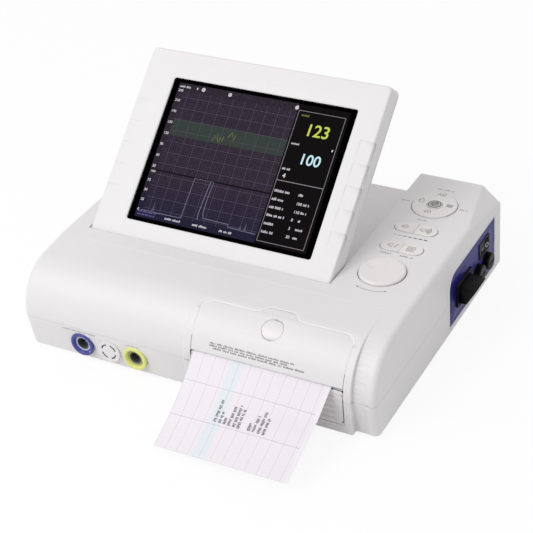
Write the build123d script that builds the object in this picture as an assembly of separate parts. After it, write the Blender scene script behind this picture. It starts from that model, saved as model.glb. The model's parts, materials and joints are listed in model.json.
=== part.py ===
from build123d import *
import os
from math import acos, atan2, cos, hypot, pi, radians, sin, tan

# Fetal monitor with a fold-down screen, a paper drawer and a thermal recorder.
# Millimetres. X right, Y to the back, Z up, Z = 0 is the table under the feet.
# X = 0 and Y = 0 are the centre of the four stand screws in the underside.

# Display area, an 8 inch 4:3 one, which sets the head; the head sets the case
view_w = 162.6            # visible width
view_h = 121.8            # visible height

# Case, outside
side_margin = 18.6        # left side to the screen's recess
strip_w = 68.3            # key strip, from the recess to the right side
rear_gap = 0.3            # folded screen to the rear plane
case_base_z = 2.0         # underside of the lower case
deck_z = 72.8             # top of the deck and of the key strip
crease_y = -61.0          # line where the deck starts to slope to the front
nose_front_y = -121.0     # foremost line of the rounded front
nose_r = 37.5             # radius of the rounded front
nose_z = 33.1             # height of the centre of that radius
toe_y = -116.7            # bottom front edge
side_edge_r = 4.8         # rounding of the long side edges
base_edge_r = 2.5         # rounding of the bottom edge
wall = 2.6                # wall of both shells
seam_z = 32.0             # joint line of the two shells
seam_gap = 0.4            # shadow gap at the joint line

# Rear top corners are cut by a slanted facet
facet_in_x = 15.6         # inset of the facet at the rear, across
facet_down = 13.6         # depth of the facet at the rear
facet_run = 57.0          # length over which the facet narrows
facet_in_front = 4.0      # inset of the facet at its front end
facet_r = 2.8             # rounding of the facet's edges

# Proud front block around the paper drawer, and the groove beside it
block_in = 17.5           # right side to the block
block_rim = 7.5           # block beside the drawer cover, left
block_rim_right = 7.0
block_front_y = -122.6    # foremost line of the block
block_toe_y = -122.2      # bottom front edge of the block
block_edge_r = 1.4        # rounding of its side edges
groove_out = 4.5          # middle of the soft groove, right of the block
groove_r = 5.0
groove_deep = 1.3

# Recess that takes the folded screen
floor_gap = 0.4           # air under the folded screen
head_gap = 0.8            # air beside the folded screen

# Screen head
head_left = 27.6          # side of the head to the visible area
head_right = 21.3
head_low = 16.6           # hinge axis to the visible area
head_high = 22.3          # visible area to the top edge, on the front face
head_taper = 3.7          # the back face reaches this much further
head_t = 20.0             # thickness, twice the barrel radius
head_rise = 40.4          # tilt at rest, degrees above flat
head_more = 15.0          # further tilt to the open stop, degrees
head_wall = 2.8
head_edge_r = 2.2
head_back_r = 5.0
head_corner_r = 4.0        # upper corners, seen from the front
barrel_gap = 0.4          # air around the barrel and the tilted face
axis_y = -41.7            # hinge axis
head_split = -5.3         # joint plane of bezel and back cover, from the axis
split_gap = 0.3
window_r = 2.0            # corners of the opening for the display
window_chamfer = 1.0
rib_count = 5             # stepped grip ribs on each side of the bezel
rib_pitch = 18.4
rib_low = 8.5              # the ribs sit this much below the middle of the display
rib_deep = 0.6
rib_down = 4.0            # how far the ribs reach back from the face
rib_margin = 12.0         # width of the ribs on the face
rib_face_deep = 0.35

# Display stack
glass_t = 1.0
glass_margin = 6.0
lcd_rim_w = 20.4          # module beyond the visible area, both sides together
lcd_rim_h = 19.2
lcd_t = 5.6
display_board_w = 120.0
display_board_h = 78.0
board_t = 1.6
inverter_w = 112.0
inverter_h = 16.0
standoff_r = 2.5

# Screen hinge
pin_r = 2.5
pin_fit = 0.05            # radial running clearance
pin_in = 10.0             # length of the pin inside the head
bush_r = 4.8
bush_len = 11.0
bracket_w = 5.0
bracket_len = 18.0
bracket_drop = 12.0

# Paper drawer
cover_gap = 0.4           # gap around the cover and the plate
cover_top_y = -94.0       # upper edge of the cover, seen from above
cover_corner_r = 9.0
bump_off = -0.8           # thumb button from the middle of the cover
bump_half_top = 10.0
bump_half_foot = 17.0
bump_rise = 7.0
cover_t = 2.4
slot_z = 41.0             # lower edge of the paper slot
slot_h = 1.5
sill_z = 10.6             # top of the sill under the drawer
plate_t = 2.4
plate_rib_count = 5
plate_rib_pitch = 5.0
plate_rib_deep = 0.8
plate_rib_w = 1.8
plate_rib_first = 15.0    # height of the first groove
plate_rib_margin = 6.0
tray_wall = 1.6
tray_gap = 0.4            # tray to rail, each side
tray_floor_z = 11.6
tray_back_y = -14.0
tray_top = 31.0
cheek_top = 46.0
cheek_back_y = -98.5
paper_w = 112.0           # recorder paper
paper_page = 84.0         # length of one fold
paper_stack = 16.0
paper_in = 2.3            # paper to the left side of the cover
paper_in_right = 8.7      # paper to its right side, where the gear is
paper_gap = 0.3
paper_folds = 8
strip_t = 0.3
strip_route = ((-108.4, 44.7), (-113.5, 43.45), (-118.9, 42.0), (-121.8, 41.25), (-124.2, 40.0),
               (-129.0, 36.4), (-135.0, 31.6), (-145.0, 25.7), (-156.0, 20.5), (-173.0, 13.1), (-190.0, 6.6))
rail_foot = 8.0
rail_t = 2.6
rail_top = 19.0

# Thumb button of the drawer
thumb_r = 8.2
thumb_gap = 0.35
thumb_angle = 121.0       # place on the rounded front, degrees from the back
thumb_deep = 6.0          # surface to the underside of the button
thumb_flange = 1.3
thumb_flange_t = 1.2
thumb_stem_r = 2.5
thumb_stem_len = 9.0
guide_t = 2.0
guide_deep = 11.0         # surface to the middle of the guide plate
guide_half_x = 15.0
guide_half_w = 4.5
guide_post = 3.0
hook_len = 8.0
hook_t = 2.0
hook_w = 6.0
keeper_gap = 0.7
keeper_len = 3.4
keeper_h = 3.0

# Platen and drive
platen_r = 7.0
platen_y = -107.5
platen_z = 37.3
platen_shaft_r = 2.5
gear_module = 0.8
platen_teeth = 24
motor_teeth = 12
gear_root = 1.25          # root and tip of the teeth, in modules from the pitch circle
gear_tip = 0.9
tooth_foot = 0.36         # half width of a tooth at its root and at its tip, in pitches
tooth_tip = 0.12
gear_w = 4.0
gear_play = 0.25
motor_r = 17.5
motor_len = 20.0
motor_shaft_r = 1.5
gear_gap = 1.8            # paper to the gear
motor_plate_t = 1.5
motor_plate_gap = 0.8     # drawer cover to the motor plate
motor_plate_y0 = -106.0
motor_plate_y1 = -74.0
motor_plate_top = 56.0
head_bar_t = 5.0
head_bar_h = 11.0
head_bar_gap = 0.5        # print head to roller with the paper between
print_spring_r = 2.6
print_spring_wire = 0.45
print_spring_turns = 5
print_spring_len = 7.0
print_bracket_t = 1.6
print_fin_t = 1.2
print_fins = 4
print_spring_fill = 0.82  # share of the gap that the coil's middle line takes

# Key strip on the right; places from the right side and the rear plane
pad_in = 38.8
pad_back = 43.9
pad_r = 18.0
pad_gap = 0.5
pad_proud = 1.0
pad_t = 3.0
ok_r = 5.9
ok_travel = 1.2
pad_top_t = 1.6
ok_gap = 0.4
ok_proud = 0.6
ok_flange = 1.1
ok_stem_r = 2.0
ring_r = 10.5             # gimbal ring under the pad
ring_w = 2.2
ring_t = 2.4
ring_mid_z = 69.2
ring_pin_r = 0.8
ring_pin_len = 2.4
lug_gap = 0.35            # ring to lug and ring to post
lug_t = 2.0
lug_w = 4.0
pill_fronts = (36.3, 63.9)  # middle of the pad to each pair of keys
pill_len = 34.6
pill_w = 12.8
pill_gap = 0.4
key_split = 0.5
key_proud = 0.7
key_travel = 1.0
key_flange = 1.2
key_flange_t = 1.0
knob_in = 38.9
knob_front = 99.1         # middle of the pad to the knob
knob_r = 17.8
knob_gap = 0.6
knob_proud = 2.2
knob_skirt = 5.0
knob_wall = 2.4
knob_push = 1.0
dimple_r = 16.0           # ball radius that makes the finger dimple
dimple_out = 9.8          # distance of the dimple from the knob's centre
dimple_deep = 1.1
dimple_angle = 152.0
shaft_r = 3.0
shaft_fit = 0.05
rotor_r = 5.0
rotor_h = 4.2
hub_r = 5.4
hub_h = 5.6
shaft_top_in = 0.6        # shaft end below the knob's underside
encoder_side = 13.0
encoder_h = 5.0
encoder_floor = 1.2
dome_h = 1.2
key_post_r = 2.5
keyboard_z = 57.5         # underside of the key board
keyboard_in = 10.0        # board to the right side
keyboard_w = 49.0
keyboard_front = 28.0     # board in front of the knob's centre
keyboard_back = 17.0      # board to the rear plane
dome_r = 3.0

# Side panel and mains parts on the right; places from the panel's rear edge
panel_back = 15.4         # panel to the rear plane
panel_len = 92.9
panel_z0 = 9.4
panel_z1 = 54.2
panel_corner_r = 12.0
panel_small_r = 1.2
panel_t = 2.2
panel_gap = 0.4
panel_inset = 0.3         # panel face behind the side plane
rocker_in = 22.4
rocker_z = 40.2
rocker_w = 21.0
rocker_h = 14.0
rocker_bezel = 1.4
rocker_bezel_t = 0.8
rocker_throw = 14.0
rocker_deep = 16.0
rocker_wall = 1.0
rocker_r = 7.3            # swept radius of the rocker
rocker_gap = 0.35
rocker_pivot_in = 2.4     # pivot behind the panel face
rocker_face = 3.0         # pivot to the middle of the rocker's face
rocker_tip = 1.0          # rise of the face towards its two ends
rocker_pin_r = 1.0
fuse_ins = (18.1, 36.6)
fuse_z = 24.5
fuse_cap_r = 7.0
fuse_cap_out = 4.0
fuse_r = 2.6
fuse_len = 20.0
fuse_tube_r = 6.2
fuse_bore_r = 4.6
fuse_tube_len = 27.0
fuse_flange_r = 7.4
fuse_flange_t = 0.9
fuse_stem_r = 4.2
fuse_stem_len = 9.0
fuse_socket_deep = 5.0
fuse_slot_w = 1.2
fuse_slot_deep = 1.4
inlet_in = 64.7
inlet_z = 28.8
inlet_w = 30.0
inlet_h = 21.0
inlet_flange_t = 1.6
inlet_body_w = 26.4
inlet_body_h = 16.8
inlet_deep = 17.0
inlet_wall = 1.5
plug_w = 22.4
plug_h = 12.4
plug_out = 14.8           # at its upper edge
plug_lean = 30.0          # lean of its outer end, degrees
plug_gap = 0.4
plug_in = 13.5
plug_chamfer = 2.4
plug_step = 0.8
plug_step_at = 10.0       # collar of the plug outside the panel
blade_t = 2.0
blade_h = 4.0
blade_pitch = 7.0
blade_rise = 3.4
blade_len = 13.0

# Transducer sockets on the left front
socket_z = 17.0
socket_ins = (51.5, 99.5) # from the left side
blank_in = 76.0
ring_out_r = 10.3
ring_proud = 2.6
socket_body_r = 8.2
socket_body_len = 20.0
insert_r = 6.5
key_hole_r = 3.6
key_hole_deep = 9.0
blank_r = 8.8
blank_t = 3.0
blank_rim = 1.0
blank_rim_t = 0.8
blank_arc_r = 6.2
blank_arc_w = 1.1
blank_arc_count = 4
blank_arc_deg = 58.0
blank_arc_deep = 1.5

# Inside
main_board_in = 20.0      # from the left side
main_board_w = 86.0
main_board_y0 = -86.0
main_board_back = 23.0    # from the rear plane
board_z = 12.0
power_in = 28.0           # from the right side
power_w = 92.0
power_back = 11.0
power_d = 90.0
chips = ((0.5, 0.55, 0.3, 0.14), (0.22, 0.75, 0.2, 0.09), (0.75, 0.78, 0.16, 0.08), (0.25, 0.3, 0.22, 0.1),
         (0.7, 0.28, 0.18, 0.12))  # middle and size of each chip, as shares of the main board
headers = (0.2, 0.45, 0.7)  # connectors along its front edge
header_w = 14.0
header_d = 8.0
header_in = 4.0
spacer_r = 3.0
spacer_in = 5.0
chip_t = 2.2
transformer_w = 36.0
transformer_d = 32.0
transformer_h = 27.0
capacitors = 3
sink_t = 2.0
sink_fins = 6
sink_pitch = 5.0
sink_len = 44.0
sink_h = 24.0
speaker_off = 24.0        # main board to the middle of the loudspeaker
speaker_r = 20.0
speaker_t = 9.0
speaker_back = 35.0

# Feet, screws and stand pattern
foot_r = 8.0
foot_in = 24.0            # feet from the sides
foot_y = 96.0
foot_recess = 1.0
boss_r = 4.0
post_sink = 0.6           # screw posts stand this far in the wall beside them
boss_in = 11.0            # screw posts to the sides and to the rear plane
boss_front_y = -60.0
screw_r = 1.5
screw_len = 34.0
screw_head_r = 3.0
screw_head_t = 2.0
stand_pitch_x = 100.0
stand_pitch_y = 100.0
stand_hole_r = 2.1
stand_boss_r = 5.0
stand_boss_h = 8.0
vent_count = 6
vent_pitch = 5.0
vent_w = 2.0
vent_len = 34.0

# Shares that repeat
soft = 0.7                # rounding of a moulded edge, of the size that it rounds
full = 0.8                # the same on keys and rims
over = 1.0                # cutters pass a face by this much

# Worked out from the driving sizes
head_w = head_left + view_w + head_right
case_w = side_margin + head_gap + head_w + head_gap + strip_w
half_w = case_w / 2
recess_x0 = side_margin - half_w
recess_x1 = half_w - strip_w
head_x0 = recess_x0 + head_gap
head_x1 = recess_x1 - head_gap
window_x0 = head_x0 + head_left
window_x1 = window_x0 + view_w
window_y0 = head_low
window_y1 = window_y0 + view_h
lcd_w = view_w + lcd_rim_w
lcd_h = view_h + lcd_rim_h
head_top_front = window_y1 + head_high
head_top_back = head_top_front + head_taper
case_back_y = axis_y + head_top_back + rear_gap
block_x1 = half_w - block_in
groove_x = block_x1 + groove_out
cover_x1 = block_x1 - block_rim_right
cover_x0 = cover_x1 - paper_in_right - paper_w - paper_in
block_x0 = cover_x0 - block_rim
paper_x0 = cover_x0 + paper_in
gear_x0 = paper_x0 + paper_w + gear_gap
bump_x = (cover_x0 + cover_x1) / 2 + bump_off
pad_x = half_w - pad_in
pad_y = case_back_y - pad_back
pill_x = pad_x
pill_ys = tuple(pad_y - front for front in pill_fronts)
knob_x = half_w - knob_in
knob_y = pad_y - knob_front
keyboard_x1 = half_w - keyboard_in
keyboard_x0 = keyboard_x1 - keyboard_w
keyboard_y0 = knob_y - keyboard_front
keyboard_y1 = case_back_y - keyboard_back
panel_y1 = case_back_y - panel_back
panel_y0 = panel_y1 - panel_len
rocker_y = panel_y1 - rocker_in
fuse_ys = tuple(panel_y1 - place for place in fuse_ins)
inlet_y = panel_y1 - inlet_in
socket_xs = tuple(place - half_w for place in socket_ins)
blank_x = blank_in - half_w
main_board_x0 = main_board_in - half_w
main_board_x1 = main_board_x0 + main_board_w
main_board_y1 = case_back_y - main_board_back
power_x1 = half_w - power_in
power_x0 = power_x1 - power_w
power_y1 = case_back_y - power_back
power_y0 = power_y1 - power_d
speaker_x = main_board_x1 + speaker_off
speaker_y = case_back_y - speaker_back
barrel_r = head_t / 2
axis_z = deck_z - barrel_r
recess_floor_z = deck_z - head_t - floor_gap
lip_angle = head_rise + head_more
far = case_w              # a length past every face, for cutting
thin = 0.3                # least air between pieces that move
floor_z = case_base_z + wall
face_x = half_w - panel_inset
window_x = (window_x0 + window_x1) / 2
window_y = (window_y0 + window_y1) / 2
tray_x0 = cover_x0
tray_x1 = cover_x1
platen_pitch_r = gear_module * platen_teeth / 2
motor_pitch_r = gear_module * motor_teeth / 2
motor_y = platen_y + platen_pitch_r + motor_pitch_r
bar_y = platen_y + platen_r + head_bar_gap
bracket_y = bar_y + head_bar_t + print_spring_len
keyboard_top = keyboard_z + board_t
pad_top_z = deck_z + pad_proud
knob_top_z = deck_z + knob_proud


def box(x0, x1, y0, y1, z0, z1):
    """Box between two corners."""
    middle = Pos((x0 + x1) / 2, (y0 + y1) / 2, (z0 + z1) / 2)
    return middle * Box(x1 - x0, y1 - y0, z1 - z0)


def block_x(x0, x1, y, z, w, h):
    """Square bar along X about a middle line."""
    return Pos((x0 + x1) / 2, y, z) * Box(x1 - x0, w, h)


def rod_x(x0, x1, y, z, r):
    """Round bar along X."""
    return Pos((x0 + x1) / 2, y, z) * Rot(0, 90, 0) * Cylinder(r, abs(x1 - x0))


def block_z(z0, z1, x, y, w, d):
    """Square bar along Z about a middle line."""
    return Pos(x, y, (z0 + z1) / 2) * Box(w, d, z1 - z0)


def rod_y(y0, y1, x, z, r):
    """Round bar along Y."""
    return Pos(x, (y0 + y1) / 2, z) * Rot(90, 0, 0) * Cylinder(r, abs(y1 - y0))


def rod_z(z0, z1, x, y, r):
    """Round bar along Z."""
    return Pos(x, y, (z0 + z1) / 2) * Cylinder(r, abs(z1 - z0))


def save(name, *pieces):
    """Write one node; a node of several loose solids is a group."""
    solids = []
    for piece in pieces:
        solids.extend(piece.solids())
    node = solids[0] if len(solids) == 1 else Compound(children=solids)
    node.label = name
    export_step(node, f"parts/{name}.step")


def along_x(face, x0, x1):
    """Extrude a face drawn in (Y, Z) from x0 to x1."""
    return extrude(Plane.YZ.offset(x0) * face, x1 - x0)


def from_above(face, z0, z1):
    """Extrude a face drawn in (X, Y) from z0 to z1."""
    return extrude(Pos(0, 0, z0) * face, z1 - z0)


def touch(point, centre, r, turn):
    """Point where a line from point touches a circle, on the side given by turn."""
    dy = point[0] - centre[0]
    dz = point[1] - centre[1]
    angle = atan2(dz, dy) + turn * acos(r / hypot(dy, dz))
    return centre[0] + r * cos(angle), centre[1] + r * sin(angle)


def case_face(front, toe, inset=0.0):
    """Side outline of the case in (Y, Z), moved in by inset."""
    r = nose_r - inset
    centre = (front + nose_r, nose_z)
    crease = (crease_y, deck_z - inset)
    foot = (toe + inset, case_base_z + inset)
    high = touch(crease, centre, r, 1)
    low = touch(foot, centre, r, -1)
    high_angle = atan2(high[1] - centre[1], high[0] - centre[0])
    low_angle = atan2(low[1] - centre[1], low[0] - centre[0])
    middle_angle = (high_angle + low_angle) / 2 + pi
    middle = (centre[0] + r * cos(middle_angle), centre[1] + r * sin(middle_angle))
    back_top = (case_back_y - inset, deck_z - inset)
    back_low = (case_back_y - inset, case_base_z + inset)
    outline = Line(crease, high) + ThreePointArc(high, middle, low) + Line(low, foot)
    outline += Line(foot, back_low) + Line(back_low, back_top) + Line(back_top, crease)
    return make_face(outline)


def on_nose(angle_deg, out=0.0, front=None):
    """Point (Y, Z) on the rounded front at an angle from +Y, out from the surface."""
    centre_y = (block_front_y if front is None else front) + nose_r
    angle = radians(angle_deg)
    return centre_y + (nose_r + out) * cos(angle), nose_z + (nose_r + out) * sin(angle)


def facet_plane(side, inset=0.0):
    """Slanted plane of a rear top corner; side is 1 on the right and -1 on the left."""
    rear_top = Vector(side * (half_w - facet_in_x), case_back_y, deck_z)
    rear_low = Vector(side * half_w, case_back_y, deck_z - facet_down)
    front = Vector(side * (half_w - facet_in_front), case_back_y - facet_run, deck_z)
    normal = (rear_low - rear_top).cross(front - rear_top).normalized()
    if normal.Z < 0:
        normal = normal * -1
    return Plane(origin=rear_top - normal * inset, x_dir=Vector(0, 1, 0), z_dir=normal)


def case_side_edges(body, half):
    """Long edges of an extruded outline, without the rear and the bottom ones."""
    picked = []
    for edge in body.edges():
        middle = edge.center()
        on_side = abs(abs(middle.X) - half) < wall / 10
        on_back = abs(middle.Y - case_back_y) < wall / 10
        on_base = abs(middle.Z - case_base_z) < wall / 10
        if on_side and not on_back and not on_base:
            picked.append(edge)
    return picked


def facet_edges(body, plane):
    """Edges that a facet makes with the faces round it."""
    facet = [face for face in body.faces() if face.geom_type == GeomType.PLANE
             and abs(face.normal_at().dot(plane.z_dir)) > 1 - thin / far
             and abs((face.center() - plane.origin).dot(plane.z_dir)) < wall / 10][0]
    return [edge for edge in facet.edges() if edge.length > facet_r]


def case_outside():
    """Outer form of the whole case, closed."""
    body = along_x(case_face(nose_front_y, toe_y), -half_w, half_w)
    body = fillet(case_side_edges(body, half_w), side_edge_r)
    low = body.edges().filter_by(lambda e: abs(e.center().Z - case_base_z) < wall / 10)
    rear = body.edges().filter_by(Axis.Z).filter_by(lambda e: abs(e.center().Y - case_back_y) < wall / 10)
    body = fillet(low + rear, base_edge_r)
    for side in (-1, 1):
        body = split(body, bisect_by=facet_plane(side), keep=Keep.BOTTOM)
        body = fillet(facet_edges(body, facet_plane(side)), facet_r)
    block = along_x(case_face(block_front_y, block_toe_y), block_x0, block_x1)
    picked = []
    for edge in block.edges():
        middle = edge.center()
        on_side = min(abs(middle.X - block_x0), abs(middle.X - block_x1)) < wall / 10
        if on_side and middle.Y < crease_y and middle.Z > case_base_z + wall / 10:
            picked.append(edge)
    block = fillet(picked, block_edge_r)
    along = block.edges().filter_by(Axis.X)
    low = along.filter_by(lambda e: e.center().Z < case_base_z + wall / 10 and e.center().Y < 0)
    block = fillet(low, base_edge_r)
    # The block ends on the deck, where both outlines are the same
    block = block & box(block_x0, block_x1, -far, crease_y + wall, case_base_z, deck_z)
    return body + block


def groove_cut():
    """Soft vertical groove between the front block and the right corner."""
    outer = along_x(case_face(nose_front_y - wall, toe_y - wall), groove_x - groove_r, groove_x + groove_r)
    inner = along_x(case_face(nose_front_y + groove_deep, toe_y + groove_deep, 0), groove_x - groove_r,
                    groove_x + groove_r)
    return outer - inner


def recess_cut(grow=0.0):
    """Space of the folded screen, with the swept barrel and the lip of the deck."""
    x0 = recess_x0 - grow
    x1 = recess_x1 + grow
    r = barrel_r + barrel_gap + grow
    angle = radians(lip_angle)
    touch_y = axis_y - r * sin(angle)
    touch_z = axis_z + r * cos(angle)
    high = far
    run = (high - touch_z) / sin(angle) * cos(angle)
    slope = make_face(Polyline((touch_y, touch_z), (touch_y + run, high), (far, high), (far, axis_z),
                               (axis_y, axis_z), close=True))
    floor = recess_floor_z - grow
    low = box(x0, x1, axis_y - r, far, floor, axis_z)
    behind = box(x0, x1, axis_y, far, floor, far)
    return rod_x(x0, x1, axis_y, axis_z, r) + along_x(slope, x0, x1) + low + behind


def case_inside():
    """Hollow of the case, with walls left round the recess."""
    half = half_w - wall
    body = along_x(case_face(nose_front_y, toe_y, wall), -half, half)
    for side in (-1, 1):
        body = split(body, bisect_by=facet_plane(side, wall), keep=Keep.BOTTOM)
    return body - recess_cut(wall)


def cover_outline(grow=0.0):
    """Outline of the drawer cover from above, with the bump over the thumb button."""
    x0 = cover_x0 - grow
    x1 = cover_x1 + grow
    top = cover_top_y + grow
    low = block_front_y - nose_r
    foot = bump_half_foot + grow
    crown = bump_half_top + grow
    face = make_face(Polyline((x0, low), (x0, top), (bump_x - foot, top), (bump_x - crown, top + bump_rise),
                              (bump_x + crown, top + bump_rise), (bump_x + foot, top), (x1, top), (x1, low),
                              close=True))
    outer = [v for v in face.vertices() if v.Y > low + wall and min(v.X - x0, x1 - v.X) < wall / 10]
    face = fillet(outer, cover_corner_r + grow)
    bump = [v for v in face.vertices() if v.Y > top - wall / 10 and abs(v.X - bump_x) < foot + wall / 10]
    return fillet(bump, bump_rise / 2)


def drawer_opening():
    """Opening in the shells for the drawer cover and its plate."""
    upper = from_above(cover_outline(cover_gap), slot_z, far)
    lower = box(cover_x0 - cover_gap, cover_x1 + cover_gap, -far, cover_top_y + bump_rise, sill_z, slot_z)
    return upper + lower


def pill_face(grow=0.0):
    """Round-ended outline of a pair of keys."""
    return SlotOverall(pill_len + 2 * grow, pill_w + 2 * grow)


def panel_face(grow=0.0):
    """Outline of the side panel in (Y, Z)."""
    w = panel_y1 - panel_y0 + 2 * grow
    h = panel_z1 - panel_z0 + 2 * grow
    face = Pos((panel_y0 + panel_y1) / 2, (panel_z0 + panel_z1) / 2) * Rectangle(w, h)
    others = face.vertices().sort_by(lambda v: v.X - v.Y)[1:]
    face = fillet(others, max(panel_small_r + grow, panel_small_r / 2))
    front_top = face.vertices().sort_by(lambda v: v.X - v.Y)[0]
    return fillet(front_top, panel_corner_r + grow)


def boss_places():
    """Places of the case screws."""
    return [(side * (half_w - boss_in), y) for side in (-1, 1) for y in (boss_front_y, case_back_y - boss_in)]


def stand_places():
    """Places of the four stand screws."""
    return [(sx * stand_pitch_x / 2, sy * stand_pitch_y / 2) for sx in (-1, 1) for sy in (-1, 1)]


def foot_places():
    """Places of the rubber feet."""
    return [(sx * (half_w - foot_in), sy * foot_y) for sx in (-1, 1) for sy in (-1, 1)]


def shell_blank():
    """Both shells in one, with every opening that crosses the joint line."""
    body = case_outside() - groove_cut()
    body -= recess_cut()
    body -= case_inside()
    body -= drawer_opening()
    body -= along_x(panel_face(panel_gap), half_w - 2 * wall, half_w + wall)
    return body


def upper_case(blank):
    """Upper shell with the deck, the recess and the key strip."""
    body = blank & box(-far, far, -far, far, seam_z, far)
    body -= from_above(Pos(pad_x, pad_y) * Circle(pad_r + pad_gap), deck_z - 2 * wall, far)
    body -= from_above(Pos(knob_x, knob_y) * Circle(knob_r + knob_gap), deck_z - 2 * wall, far)
    for y in pill_ys:
        body -= from_above(Pos(pill_x, y) * pill_face(pill_gap), deck_z - 2 * wall, far)
    for x, y in boss_places():
        body += boss_column(x, y)
    for side_x in (recess_x0, recess_x1):
        body -= rod_x(side_x - 2 * wall, side_x + 2 * wall, axis_y, axis_z, pin_r + pin_fit)
    return body


def boss_column(x, y):
    """Screw column of the upper shell, down to the joint line, inside the hollow."""
    column = rod_z(seam_z, deck_z, x, y, boss_r)
    column -= rod_z(seam_z, seam_z + boss_r * 2, x, y, screw_r)
    return column & case_reach()


def case_reach():
    """Outer form drawn in by half a wall, so that columns stay inside the skin."""
    body = along_x(case_face(nose_front_y, toe_y, wall / 2), -half_w + wall / 2, half_w - wall / 2)
    for side in (-1, 1):
        body = split(body, bisect_by=facet_plane(side, wall / 2), keep=Keep.BOTTOM)
    return body


def lower_case(blank):
    """Lower shell with feet recesses, screw columns and stand bosses."""
    top = seam_z - seam_gap
    body = blank & box(-far, far, -far, far, 0, top)
    for x, y in boss_places():
        body += rod_z(case_base_z, top, x, y, boss_r) & case_reach()
        body -= rod_z(0, top + over, x, y, screw_r + thin / 2)
        body -= rod_z(0, case_base_z + screw_head_t + thin, x, y, screw_head_r + thin)
    for x, y in stand_places():
        body += rod_z(case_base_z, case_base_z + stand_boss_h, x, y, stand_boss_r)
        body -= rod_z(0, case_base_z + stand_boss_h + over, x, y, stand_hole_r)
    for x, y in foot_places():
        body -= rod_z(0, case_base_z + foot_recess, x, y, foot_r + thin / 2)
    for x, y in board_pillars():
        body += rod_z(floor_z - wall / 2, board_z, x, y, spacer_r)
    for x in socket_xs + (blank_x,):
        r = blank_r if x == blank_x else socket_body_r
        body -= rod_y(-far, toe_y + 3 * wall, x, socket_z, r + thin / 2)
    for i in range(vent_count):
        y = speaker_y + (i - (vent_count - 1) / 2) * vent_pitch
        slot = Pos(speaker_x, y) * SlotOverall(vent_len, vent_w)
        body -= from_above(slot, 0, case_base_z + 2 * wall)
    return body


def side_panel():
    """Coloured plate with the mains parts."""
    x1 = half_w - panel_inset
    x0 = x1 - panel_t
    plate = along_x(panel_face(), x0, x1)
    plate -= block_x(x0 - over, x1 + over, rocker_y, rocker_z, rocker_w - 2 * rocker_bezel,
                     rocker_h - 2 * rocker_bezel)
    plate -= block_x(x0 - over, x1 + over, inlet_y, inlet_z, inlet_body_w + 2 * thin, inlet_body_h + 2 * thin)
    for y in fuse_ys:
        plate -= rod_x(x0 - over, x1 + over, y, fuse_z, fuse_tube_r + thin / 2)
    # Rim behind the wall that the plate seats on
    rim = along_x(panel_face(2 * panel_gap + wall), half_w - wall - panel_t, half_w - wall)
    rim -= along_x(panel_face(-wall), half_w - 3 * wall, half_w)
    core = along_x(panel_face(), half_w - wall - panel_t, x0)
    core -= along_x(panel_face(-wall), half_w - 3 * wall, half_w)
    rim = rim + core
    return plate + rim


def in_head(piece):
    """Put a piece modelled about the hinge axis at the tilt of the rest pose."""
    return Pos(0, axis_y, axis_z) * Rot(head_rise, 0, 0) * piece


def head_outside():
    """Outer form of the screen head, folded flat, about the hinge axis."""
    side = make_face(Polyline((0, -barrel_r), (head_top_back, -barrel_r), (head_top_front, barrel_r),
                              (0, barrel_r), close=True))
    top_corners = side.vertices().sort_by(Axis.X)[-2:]
    side = fillet(top_corners[1], head_back_r)
    body = along_x(side, head_x0, head_x1)
    corners = []
    for edge in head_side_edges(body):
        if edge.center().Y > window_y1 and abs(edge.center().Z) < barrel_r - wall / 10:
            corners.append(edge)
    body = fillet(corners, head_corner_r)
    front = body.faces().sort_by(Axis.Z)[-1]
    rim = [e for e in front.edges() if e.center().Y > wall / 10]
    rim += [e for e in head_side_edges(body) if e.center().Y > wall / 10 and e.center().Z < wall / 10 - barrel_r]
    body = fillet(rim, head_edge_r * soft)
    body += rod_x(head_x0, head_x1, 0, 0, barrel_r)
    for side_x, sign in ((head_x0, 1), (head_x1, -1)):
        for i in range(rib_count):
            y = window_y - rib_low + (i - rib_count / 2) * rib_pitch
            end = y + rib_pitch
            out_x = side_x - sign * over
            step = make_face(Polyline((out_x, y), (side_x, y), (side_x + sign * rib_deep, end), (out_x, end),
                                      close=True))
            body -= from_above(step, barrel_r - rib_down, barrel_r + over)
            ramp = make_face(Polyline((y, barrel_r), (end, barrel_r - rib_face_deep), (end, barrel_r + over),
                                      (y, barrel_r + over), close=True))
            in_x = side_x + sign * rib_margin
            body -= along_x(ramp, min(side_x, in_x), max(side_x, in_x))
    return body


def head_side_edges(body):
    """Edges that lie in the two side planes of the screen head."""
    return [e for e in body.edges() if min(abs(e.center().X - head_x0), abs(e.center().X - head_x1)) < wall / 10]


def head_hollow():
    """Hollow of the screen head."""
    return box(head_x0 + head_wall, head_x1 - head_wall, window_y0 - lcd_rim_h / 2 - thin * 2,
               head_top_front - head_wall, -barrel_r + head_wall, barrel_r - head_wall)


def window_face(grow=0.0):
    """Opening for the display."""
    return Pos(window_x, window_y) * RectangleRounded(view_w + 2 * grow, view_h + 2 * grow, window_r + grow)


def front_bezel(outside):
    """Front half of the screen head, with the window and the barrel."""
    body = outside & box(-far, far, -far, far, head_split, far)
    body -= head_hollow()
    body -= from_above(window_face(), 0, far)
    body -= loft([Pos(0, 0, barrel_r - window_chamfer) * window_face(),
                  Pos(0, 0, barrel_r + thin) * window_face(window_chamfer + thin)])
    for x0, x1 in bush_spans():
        body -= rod_x(x0, x1, 0, 0, bush_r)
    return body


def bush_spans():
    """X spans of the two hinge bushes."""
    return ((head_x0, head_x0 + bush_len), (head_x1 - bush_len, head_x1))


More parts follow.
